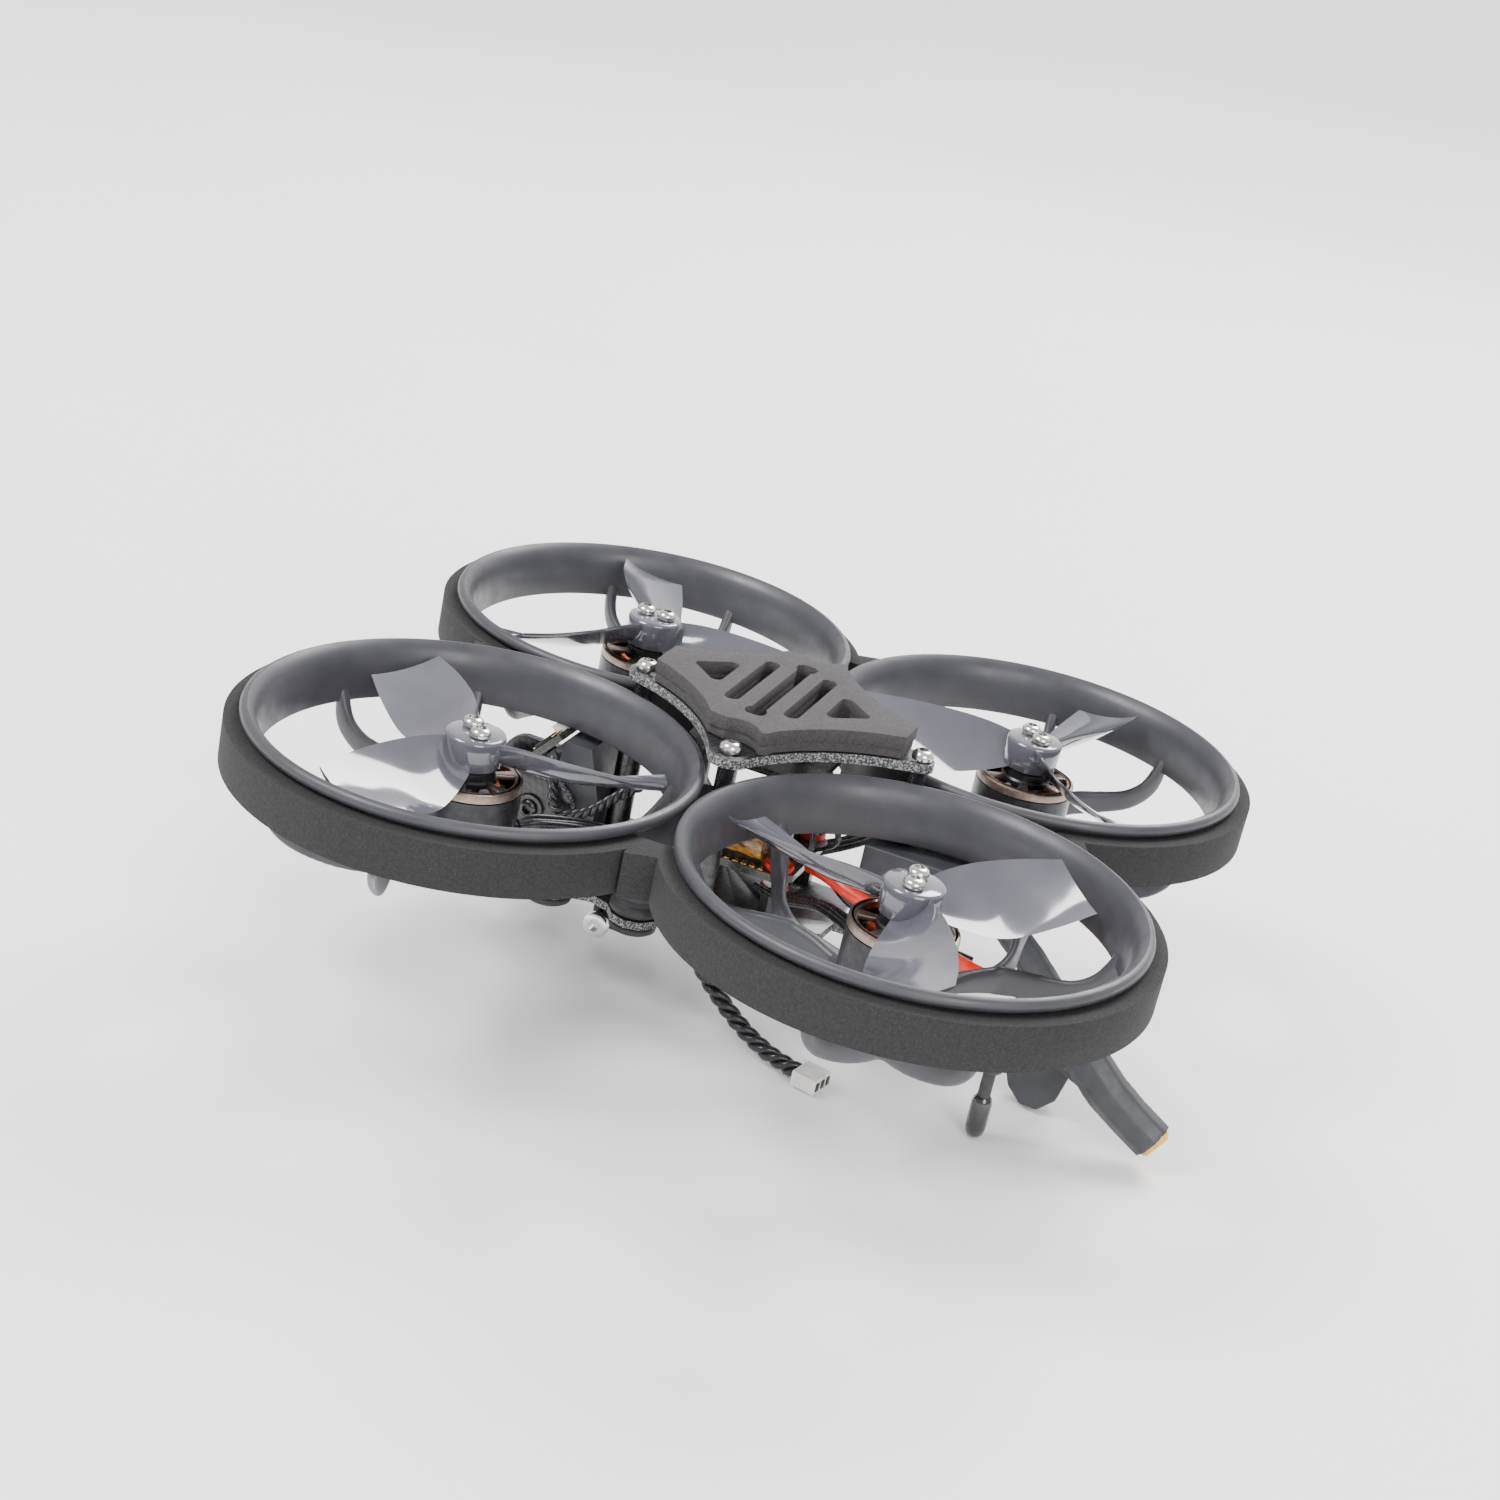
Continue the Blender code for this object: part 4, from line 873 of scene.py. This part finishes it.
def bell_mesh():
    skirt = turned(
        [(10.5, -11.6), (10.5, -19.6), (10.3, -19.9), (9.6, -19.9), (9.5, -19.6), (9.5, -11.6)], 96
    )
    band = turned(
        [
            (10.05, -9.6), (10.4, -9.8), (10.5, -10.1), (10.5, -11.3), (10.3, -11.5), (9.5, -11.5), (9.5, -10.6),
            (9.5, -9.6),
        ],
        96,
    )
    rim = turned([(9.9, -9.6), (9.9, -10.7), (8.9, -10.7), (8.9, -9.75), (9.1, -9.6)], 96)
    hub = turned(
        [
            (0, -7.7), (4.7, -7.7), (5.0, -8.0), (5.0, -9.4), (5.4, -9.8), (5.4, -10.7), (1.0, -10.7),
            (1.0, -19.6), (0, -19.6),
        ],
        64,
    )
    spoke = rounded(flat([[(4.8, -0.75), (9.3, -1.35), (9.3, 1.35), (4.8, 0.75)]], -10.7, -9.65), 0.2)
    holes = [moved(flat([circle((0, 0), 1.0, 20)], -8.6, -7.0), x=x) for x in (-2.5, 2.5)]
    for hole in holes:
        hub = cut(hub, hole)
    spokes = [(moved(spoke, turn=60 * k + 30), BRONZE) for k in range(6)]
    return [(skirt, BELL), (band, BRONZE), (rim, BRONZE), (hub, BELL), *spokes]


def coil_turn(radius):
    """One turn of wire round an arm of the stator, that far from the motor's axis."""
    wire = 0.33
    shape = bmesh.new()
    rings = []
    for k in range(20):
        t = 2 * math.pi * k / 20
        u, v = 1.45 * math.cos(t), 2.5 * math.sin(t)
        out = Vector((0, u, v)).normalized()
        centre = Vector((radius, u, v - 15.4))
        ring = []
        for j in range(6):
            b = 2 * math.pi * j / 6
            offset = out * wire * math.cos(b) + Vector((wire * math.sin(b), 0, 0))
            ring.append(shape.verts.new((centre + offset) * MM))
        rings.append(ring)
    for first, second in zip(rings, rings[1:] + rings[:1]):
        for j in range(6):
            shape.faces.new((first[j], first[(j + 1) % 6], second[(j + 1) % 6], second[j]))
    return mesh_of(shape)


def stator_mesh():
    base = turned(
        [
            (3.0, -20.1), (9.5, -20.2), (9.8, -20.4), (9.8, -21.0), (0, -21.0), (0, -20.4), (1.5, -20.4),
            (1.5, -20.1),
        ],
        64,
    )
    tube_part = turned([(1.4, -11.0), (2.5, -11.0), (2.6, -11.2), (2.6, -20.4), (1.4, -20.4)], 40)
    core = turned([(2.6, -13.6), (4.6, -13.6), (4.6, -17.4), (2.6, -17.4)], 40)
    parts = [(base, BELL), (tube_part, BRONZE), (core, IRON)]
    shoe = moved(block((0.7, 3.9, 3.9), 0.15), x=8.5, z=-15.4)
    neck = moved(block((4.0, 1.1, 3.4), 0.15), x=6.2, z=-15.4)
    turns = [coil_turn(5.0 + i * 0.56) for i in range(6)]
    for k in range(9):
        a = 40 * k
        parts += [(moved(shoe, turn=a), IRON), (moved(neck, turn=a), IRON)]
        parts += [(moved(turn, turn=a), COPPER) for turn in turns]
    return parts


# Propellers

CUP = 1.5


def blade_ring(radius, chord, pitch, sweep, height):
    """Points round one section, square-cornered at the tip's end, thin at both edges."""
    p = math.radians(pitch)
    along = Vector((0, math.cos(p), math.sin(p)))
    normal = Vector((0, -math.sin(p), math.cos(p)))
    steps = [math.cos(math.pi * k / 12) for k in range(13)]
    ring = []
    for side, row in ((1, reversed(steps)), (-1, steps)):
        for across in row:
            if side < 0 and abs(across) > 0.999:
                continue
            thickness = side * 0.45 * (1.15 - 0.75 * across**2)
            offset = along * (sweep + across * chord / 2) + normal * (-CUP * (1 - across**2) + thickness)
            x = math.sqrt(max(radius**2 - offset.y**2, (0.6 * radius) ** 2))
            ring.append(Vector((x, offset.y, height + offset.z)) * MM)
    return ring


def prop_meshes(phase):
    stations = [
        (0.10, 7.0, 46, 0.0, -4.4), (0.30, 12.4, 39, 0.0, -5.0), (0.52, 16.2, 33, 0.3, -5.7),
        (0.78, 16.4, 23, 0.6, -4.8), (0.997, 14.6, 16, 0.6, -3.6),
    ]
    rows = between(stations, 6)
    blade = swept([blade_ring(share * PROP_RADIUS, *rest) for share, *rest in rows])
    hub = turned(
        [
            (0, -1.0), (5.3, -1.0), (5.75, -1.2), (6.0, -1.7), (5.75, -7.1), (5.5, -7.4), (4.9, -7.4), (0, -7.4),
        ],
        72,
    )
    return [hub, *(moved(blade, turn=phase + 120 * k) for k in range(3))]


def add_rotors():
    bell, stator = bell_mesh(), stator_mesh()
    screw = hex_screw(2.1, 1.7, 1.05, -8.0)
    for name, (x_side, y_side, blade_angle, screw_angle, counter) in ROTORS.items():
        body = f"rotor_{name}"
        place = at(x_side * MOTOR, y_side * MOTOR, 0)
        put(multi(f"wound_stator_{name}", stator, 40), f"stator_{name}", place=place)
        turn = math.radians(screw_angle)
        cup = multi(f"motor_bell_{name}", bell, 30)
        cup.rotation_euler.z = turn
        put(cup, f"bell_{name}", body, place)
        meshes = prop_meshes(blade_angle) if counter else prop_meshes(-blade_angle)
        if not counter:
            meshes = [scaled(mesh, Matrix.Diagonal((1, -1, 1, 1))) for mesh in meshes]
        prop = joined(f"three_blade_propeller_{name}", meshes, SMOKE, 50)
        put(prop, f"propeller_{name}", body, place)
        for side, end in ((-1, "a"), (1, "b")):
            head = new_object(f"prop_button_screw_{end}_{name}", screw.copy(), STEEL)
            offset = Matrix.Rotation(turn, 3, "Z") @ Vector((side * SCREW_SPACING / 2, 0, HUB_TOP + GAP))
            put(head, f"prop_screw_{end}_{name}", body, place + offset * MM)


# Camera pod


def both_sides(half):
    """The outline with its mirror image, whose two ends are on the middle line."""
    return half + [(-x, y) for x, y in reversed(half[1:-1])]


def tray_outline():
    half = [
        (0, -38.4), (8.0, -38.4), (8.0, -41.8), (12.0, -42.4), (16.0, -40.8), (17.6, -36.6), (16.6, -33.2),
        (12.4, -30.4), (12.4, -23.4), (16.6, -20.6), (17.6, -17.2), (16.6, -13.8), (12.4, -11.0), (12.4, -4.4),
        (27.0, -4.2), (30.0, -3.0), (31.0, 0.0), (30.0, 3.0), (27.0, 4.2), (12.4, 4.4), (12.0, 19.0),
        (10.0, 21.5), (3.4, 22.0), (3.4, 31.0), (2.4, 33.8), (0, 34.8),
    ]
    return both_sides(half)


def camera_plate_outline():
    half = [
        (0, -61.0), (7.0, -61.0), (10.0, -58.0), (10.2, -44.0), (13.5, -41.9), (16.4, -40.0), (17.6, -36.6),
        (16.4, -33.2), (13.2, -31.0), (11.8, -27.0), (13.2, -22.8), (16.4, -20.6), (17.6, -17.2), (16.4, -13.8),
        (13.5, -11.9), (8.0, -10.8), (0, -10.8),
    ]
    return both_sides(half)


def side_plate_outline():
    corner = arc((-41.8, -28.6), 6.3, 0, 90, 24)
    front = arc((-54.6, -27.6), 5.4, 90, 180, 12)
    return [(-43.2, -42.3), (-43.2, -34.0), (-35.5, -34.0), *corner, *front, (-60.0, -42.3)]


def add_pod():
    damper_points = [(side * DAMPER_X, y) for side in (-1, 1) for y in DAMPER_YS]
    holes = [circle(point, 2.7, 32) for point in damper_points]
    post_holes = [circle(p, 1.3, 20) for p in ((-7.5, 10.0), (7.5, 10.0), (-7.5, -8.0), (7.5, -8.0))]
    tray = flat([tray_outline(), *holes, *post_holes], TRAY_BOTTOM, TRAY_TOP, edge=0.15)
    tray_piece = new_object("woven_bottom_plate", tray, CARBON_Z, sharp=30)
    put(tray_piece, "bottom_plate", place=ORIGIN)
    plate = flat([camera_plate_outline(), *holes], CAMERA_PLATE_BOTTOM, CAMERA_PLATE_TOP, edge=0.15)
    plate_piece = new_object("woven_camera_plate", plate, CARBON_Z, sharp=30)
    put(plate_piece, "camera_plate", place=ORIGIN)
    profile = [
        (0, -34.7), (2.3, -34.8), (2.4, -36.5), (4.7, -36.75), (5.3, -37.2), (5.4, -38.2), (4.6, -39.0),
        (4.5, -39.9), (5.4, -40.8), (5.4, -41.8), (5.0, -42.3), (2.4, -42.4), (2.4, -44.6), (4.8, -44.75),
        (5.1, -45.1), (5.0, -46.0), (4.6, -46.3), (0, -46.3),
    ]
    damper = turned(profile, 48)
    for x, y in damper_points:
        name = f"{'rear' if y > -30 else 'front'}_{'left' if x > 0 else 'right'}"
        plug = new_object(f"rubber_damper_{name}", damper.copy(), RUBBER, sharp=50)
        put(plug, f"damper_{name}", place=at(x, y, 0))
    screw = hex_screw(2.0, 1.5, 1.1, -5.0)
    washer = turned([(2.0, 0.0), (2.9, 0.0), (2.9, 0.35), (2.0, 0.35)], 40)
    for side, name in ((1, "left"), (-1, "right")):
        low, high = sorted((side * 7.6, side * 9.6))
        plate = flat([side_plate_outline(), circle(PIVOT[1:], 1.25, 20)], low, high, "X", edge=0.15)
        side_plate = new_object(f"woven_camera_side_{name}", plate, CARBON_X, sharp=30)
        put(side_plate, f"camera_side_{name}", place=ORIGIN)
        head = multi(f"black_hex_screw_{name}", [(screw, BLACK_STEEL), (washer, BLACK_STEEL)])
        head.rotation_euler.y = side * math.pi / 2
        put(head, f"camera_screw_{name}", place=at(side * 9.9, PIVOT[1], PIVOT[2]))


def on_slope(x, share, lift):
    """A place on the tilted board: share runs from its lower edge to its upper one, lift stands off its face."""
    along = (BOARD_HIGH - BOARD_LOW).normalized()
    spot = BOARD_LOW.lerp(BOARD_HIGH, share) + Vector((-along.y, along.x)) * lift
    return at(x, spot.x, spot.y)


def add_camera():
    cover("camera_body", BLACK, 0.35)
    barrel = [
        (0, 14.6), (3.6, 14.7), (3.9, 16.0), (4.2, 16.2), (4.8, 16.0), (5.0, 15.5), (5.0, 14.2), (4.85, 14.0),
        (5.0, 13.8), (5.0, 11.6), (4.8, 11.4), (4.3, 10.9), (4.2, 10.3), (4.2, 6.7), (0, 6.7),
    ]
    glass = turned([(0, 15.7), (1.5, 15.6), (2.8, 15.2), (3.7, 14.7), (0, 14.6)], 64)
    lens = multi("camera_lens_barrel", [(turned(barrel, 72), BLACK), (glass, LENS)], 30)
    lens.rotation_euler.x = math.pi / 2
    put(lens, "camera_lens", "camera", at(*PIVOT))
    cover("video_board", BOARD, 0.1)
    cover("cradle", SOFT, 0.3)
    slope = BOARD_HIGH - BOARD_LOW
    tilt = math.atan2(slope.y, slope.x)
    # x, share up the slope, width, depth
    chips = [
        (-4.6, 0.35, 4.2, 3.0, CHIP), (0.6, 0.3, 3.0, 3.0, CHIP), (4.8, 0.4, 2.2, 4.0, CHIP),
        (-1.2, 0.7, 3.6, 2.0, CHIP),
    ]
    chips += [(x, 0.78, 0.9, 1.4, GOLD) for x in (3.2, 4.6, 6.0)]
    chips += [(x, 0.14, 0.8, 1.0, GOLD) for x in (-6, -4.6, -3.2, 3.6, 5.0)]
    for i, (x, share, wide, deep, material) in enumerate(chips):
        mesh = block((wide, deep, 0.9 if material is CHIP else 0.3), 0.1)
        chip = new_object(f"board_part_{i:02d}", mesh, material)
        chip.rotation_euler.x = tilt
        chip.location = on_slope(x, share, 0.35)
        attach(chip, "frame")
    socket = new_object("camera_cable_socket", block((7.0, 3.2, 2.4), 0.2), WHITE)
    socket.rotation_euler.x = tilt
    socket.location = on_slope(0, 0.84, 0.9)
    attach(socket, "frame")


def add_accessory():
    lug_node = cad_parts["accessory_lug"]
    lug = new_object("moulded_accessory_lug", melted([lug_node.data.copy()], 0.3, 2), RUBBER, sharp=60)
    put(lug, "accessory_lug")
    profile = [
        (1.3, 12.6), (2.3, 12.6), (2.65, 12.4), (2.75, 12.0), (2.75, 11.0), (2.5, 10.4), (1.6, 9.7), (1.5, 9.4),
        (1.5, -9.4), (1.6, -9.7), (2.5, -10.6), (2.75, -11.0), (2.75, -12.0), (2.3, -12.6), (0, -12.6),
        (0, 11.6), (1.3, 11.6),
    ]
    bolt = new_object("round_cross_bolt", turned(profile, 48), STEEL)
    bolt.rotation_euler.y = math.pi / 2
    put(bolt, "cross_bolt", place=at(*CROSS_BOLT))


# Electronics


def add_board_bolt(x, y):
    """A black bolt with its grommets and spacers, at one corner of the boards."""
    label = f"{'left' if x > 0 else 'right'}_{'rear' if y > 0 else 'front'}"
    bolt = [(0, -20.0), (1.7, -20.2), (1.9, -20.8), (1.9, -21.8), (1.0, -21.9), (1.0, -34.2), (0, -34.2)]
    red_low = [(1.15, -23.6), (2.9, -23.8), (3.1, -23.2), (2.9, -22.6), (1.15, -22.4)]
    white_ring = [(1.15, -26.2), (2.5, -26.2), (2.5, -27.4), (1.15, -27.4)]
    red_base = [(1.15, -27.5), (2.9, -27.7), (3.0, -28.8), (1.15, -29.0)]
    spacer = [(1.05, -29.1), (2.3, -29.2), (2.3, -34.4), (1.05, -34.4)]
    parts = [
        (turned(bolt, 6), BLACK), (turned(red_low, 40), RED), (turned(white_ring, 40), WHITE),
        (turned(red_base, 40), RED), (turned(spacer, 6), BLACK),
    ]
    grommet = multi(f"board_bolt_{label}", parts, 30)
    post = turned([(0, -4.0), (1.6, -4.0), (1.6, -19.6), (0, -19.6)], 6)
    upper_spacer = new_object(f"stack_spacer_{label}", post, BLACK)
    for piece in (grommet, upper_spacer):
        piece.location = at(x, y, 0)
        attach(piece, "frame")


def add_stack():
    cover("flight_controller", BOARD, 0.12)
    cover("radio_board", BOARD, 0.12)
    # x, y, width, depth
    chips = [
        (-3.5, -2.5, 7.0, 7.0), (6.0, -7.5, 4.0, 3.0), (-8.5, 5.5, 3.0, 4.4), (3.5, 8.0, 5.0, 2.6),
        (-6.0, -9.0, 5.0, 2.2),
    ]
    bodies = [(moved(block((w, d, 1.1), 0.12), x=x, y=y, z=-23.5), CHIP) for x, y, w, d in chips]
    bodies += [(moved(block((w, d, 1.0), 0.12), x=x, y=y, z=-26.1), CHIP) for x, y, w, d in chips[1:]]
    bodies += [(moved(block((w, d, 0.9), 0.1), x=x, y=y, z=-1.75), CHIP) for x, y, w, d in chips[1:]]
    for i in range(9):
        pad = block((1.1, 1.6, 0.25), 0.06)
        for x in (12.6, -12.6):
            bodies.append((moved(pad, x=x, y=-7.2 + 1.8 * i, z=-23.85, turn=90), GOLD))
    for i in range(14):
        small = block((0.9, 0.5, 0.5), 0.06)
        column, row = i % 7, i // 7
        shifted = moved(small, x=-5 + 1.6 * column, y=3.0 + 1.2 * row, z=-23.75, turn=90 * (i % 2))
        bodies.append((shifted, WHITE if i % 3 else CHIP))
    usb = moved(block((7.4, 5.0, 2.6), 0.4), x=0, y=-12.0, z=-22.7)
    bodies.append((usb, STEEL))
    components = multi("board_components", bodies)
    components.location = ORIGIN
    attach(components, "frame")
    for x in (-10, 10):
        for y in (-10, 10):
            add_board_bolt(x, y)
    can = [
        (0, 7.3), (2.6, 7.3), (3.0, 7.5), (3.8, 7.4), (4.0, 7.0), (4.0, 5.6), (3.75, 5.2), (4.0, 4.8),
        (4.0, -7.0), (3.8, -7.4), (0, -7.5),
    ]
    capacitor = new_object("film_capacitor", turned(can, 64), FILM)
    capacitor.rotation_euler.x = math.pi / 2
    put(capacitor, "capacitor", place=at(*CAPACITOR))


# From the boards, past the rear post and into the arm of the rear mount
BATTERY_LEAD_ROUTE = [
    (6.6, 15.4, -22.6), (9.6, 20.0, -22.0), (12.0, 27.0, -23.2), (12.6, 38.0, -25.6), (12.4, 48.0, -28.6),
    (10.0, 56.0, -31.4), (6.6, 61.6, -32.6), (4.0, 66.0, -33.6),
]
BLACK_LEAD_ROUTE = [
    (3.3, 15.0, -23.8), (6.3, 19.6, -23.2), (6.0, 26.0, -27.6), (7.4, 36.0, -28.2), (8.6, 44.0, -29.6),
    (7.6, 52.0, -31.0),
]
CAMERA_CABLE_ROUTE = [
    (9.6, -41.4, -15.4), (11.8, -38.6, -26.5), (12.2, -32.0, -25.4), (12.0, -24.6, -18.6), (10.8, -17.4, -12.6),
]


def motor_lead_route(x_side, y_side, k):
    """From a motor inward along its arm to the boards. k is -1, 0 or 1."""
    reach = MOTOR - 8.5
    return smooth_points(
        [
            (x_side * (reach + k * 0.4), y_side * (reach - k * 0.4), -20.6),
            (x_side * (33.0 + k), y_side * (33.0 - k), -20.2 + 0.3 * abs(k)),
            (x_side * (25.0 + 1.2 * k), y_side * (25.0 - 1.2 * k), -21.5),
            (x_side * (17.5 + 1.6 * k), y_side * (17.0 - 1.6 * k), -25.5 - 0.4 * k),
            (x_side * 11.6, y_side * (9.0 - 2.4 * k), -28.2),
        ],
        10,
    )


def add_wiring():
    for name, (x_side, y_side, *_) in ROTORS.items():
        routes = [motor_lead_route(x_side, y_side, k) for k in (-1, 0, 1)]
        strands(f"motor_leads_{name}", routes, 0.62, WIRE)
    red = strands("battery_lead_red", [smooth_points(BATTERY_LEAD_ROUTE, 10)], 1.5, RED)
    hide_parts("battery_lead")
    strands("battery_lead_black", [smooth_points(BLACK_LEAD_ROUTE, 10)], 1.45, WIRE)
    twisted("camera_cable", CAMERA_CABLE_ROUTE, 0.55, 3, 6.0, WIRE)
    loops = [
        [(-6.0, -12.6, -21.5), (-9.0, -17.0, -17.0), (-7.0, -13.5, -10.0), (-3.0, -8.0, -5.5)],
        [(-2.0, -12.8, -21.5), (-3.0, -18.6, -16.0), (-1.0, -14.0, -9.0), (1.0, -8.6, -5.0)],
        [(4.0, -12.8, -21.5), (7.0, -18.0, -16.6), (6.4, -13.0, -9.4), (5.0, -8.2, -5.0)],
        [(7.6, 12.0, -22.0), (11.0, 16.0, -16.6), (8.0, 13.0, -9.0), (5.0, 8.6, -5.0)],
        [(-8.0, 12.4, -22.0), (-11.0, 16.4, -16.0), (-7.0, 12.4, -8.4), (-4.0, 8.0, -5.0)],
        [(2.0, 13.2, -22.0), (3.4, 19.0, -17.0), (2.6, 14.4, -9.0), (1.0, 9.0, -5.0)],
    ]
    for i, loop in enumerate(loops):
        shifted = [[(x + 0.9 * k, y, z + 0.3 * k) for x, y, z in loop] for k in (-1, 0, 1)]
        strands(f"stack_loom_{i + 1}", [smooth_points(route, 8) for route in shifted], 0.42, WIRE)
    coil = []
    for k in range(121):
        a = 2 * math.pi * k / 14
        coil.append((-7.0 + k * 0.05, 2.0 + 2.1 * math.cos(a), -19.6 + 2.1 * math.sin(a)))
    strands("choke_coil", [coil], 0.2, GOLD)


# Rear mount


def add_rear():
    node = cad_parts["rear_mount"]
    arm = new_object("soft_rear_mount", melted([node.data.copy()], 0.45, 3), SOFT, sharp=60)
    put(arm, "rear_mount")
    ahead = (ARM_END - ARM_BEFORE_END).normalized()
    turn = Matrix((Vector((1, 0, 0)), ahead, Vector((1, 0, 0)).cross(ahead))).transposed().to_4x4()
    cover("battery_plug", YELLOW, 0.25)
    contacts = []
    for z in (-1.75, 1.75):
        sleeve = moved(turned([(0.85, 0.35), (1.35, 0.35), (1.35, -0.3), (0.85, -0.3)], 32), turn=-90, axis="X")
        pin = moved(turned([(0, 0.2), (0.85, 0.2), (0.85, -0.3), (0, -0.3)], 32), turn=-90, axis="X")
        contacts += [(moved(sleeve, y=0.85, z=z), YELLOW), (moved(pin, y=0.85, z=z), CHIP)]
    plug = multi("power_plug_contacts", contacts)
    plug.matrix_world = Matrix.Translation(at(*ARM_END)) @ turn
    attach(plug, "frame")
    rod = turned([(0, -41.6), (1.25, -41.6), (1.3, -52.2), (0, -52.2)], 40)
    bulb = turned(
        [
            (0, -52.0), (1.4, -52.0), (1.8, -52.5), (2.05, -53.4), (2.1, -56.0), (2.1, -58.8), (1.9, -60.1),
            (1.4, -60.9), (0.7, -61.25), (0, -61.3),
        ],
        48,
    )
    antenna = multi("antenna_rod_and_bulb", [(rod, RUBBER), (bulb, GLOSS)])
    put(antenna, "antenna", place=at(*ANTENNA))


# Floor and light


def add_studio():
    mesh = bpy.data.meshes.new("floor")
    shape = bmesh.new()
    rows = []
    for along, height in ((4, 0), (-1.4, 0), (-1.8, 0.06), (-2.1, 0.3), (-2.2, 0.8), (-2.2, 4)):
        rows.append([shape.verts.new((along, side, height)) for side in (-6, 6)])
    for first, second in zip(rows, rows[1:]):
        shape.faces.new((first[0], first[1], second[1], second[0]))
    shape.to_mesh(mesh)
    shape.free()
    paper = plain("white paper", (0.93, 0.93, 0.93), (0.95, 0.95, 0.95), 0.7, 3)
    floor = new_object("backdrop", mesh, paper, sharp=80)
    floor.location = (0, 0, -0.0003)
    lights = [
        ("key_light", (0.9, -1.1, 1.7), 0.9, 62),
        ("fill_light", (1.3, 1.1, 0.9), 1.0, 26),
        ("back_light", (-1.1, 0.3, 1.3), 0.8, 40),
    ]
    for name, place, size, power in lights:
        data = bpy.data.lights.new(name, "AREA")
        data.size = size
        data.energy = power
        lamp = linked(name, data)
        lamp.location = place
        lamp.rotation_euler = (Vector(place) - Vector((0, 0, 0.03))).to_track_quat("Z", "Y").to_euler()
    world = bpy.data.worlds.new("studio")
    world.use_nodes = True
    world.node_tree.nodes["Background"].inputs[0].default_value = (1, 1, 1, 1)
    world.node_tree.nodes["Background"].inputs[1].default_value = 0.85
    bpy.context.scene.world = world


add_camera_view()
add_lead()
add_ducts()
add_bumper()
add_top()
add_fasteners()
add_rotors()
add_pod()
add_camera()
add_accessory()
add_stack()
add_wiring()
add_rear()
add_studio()
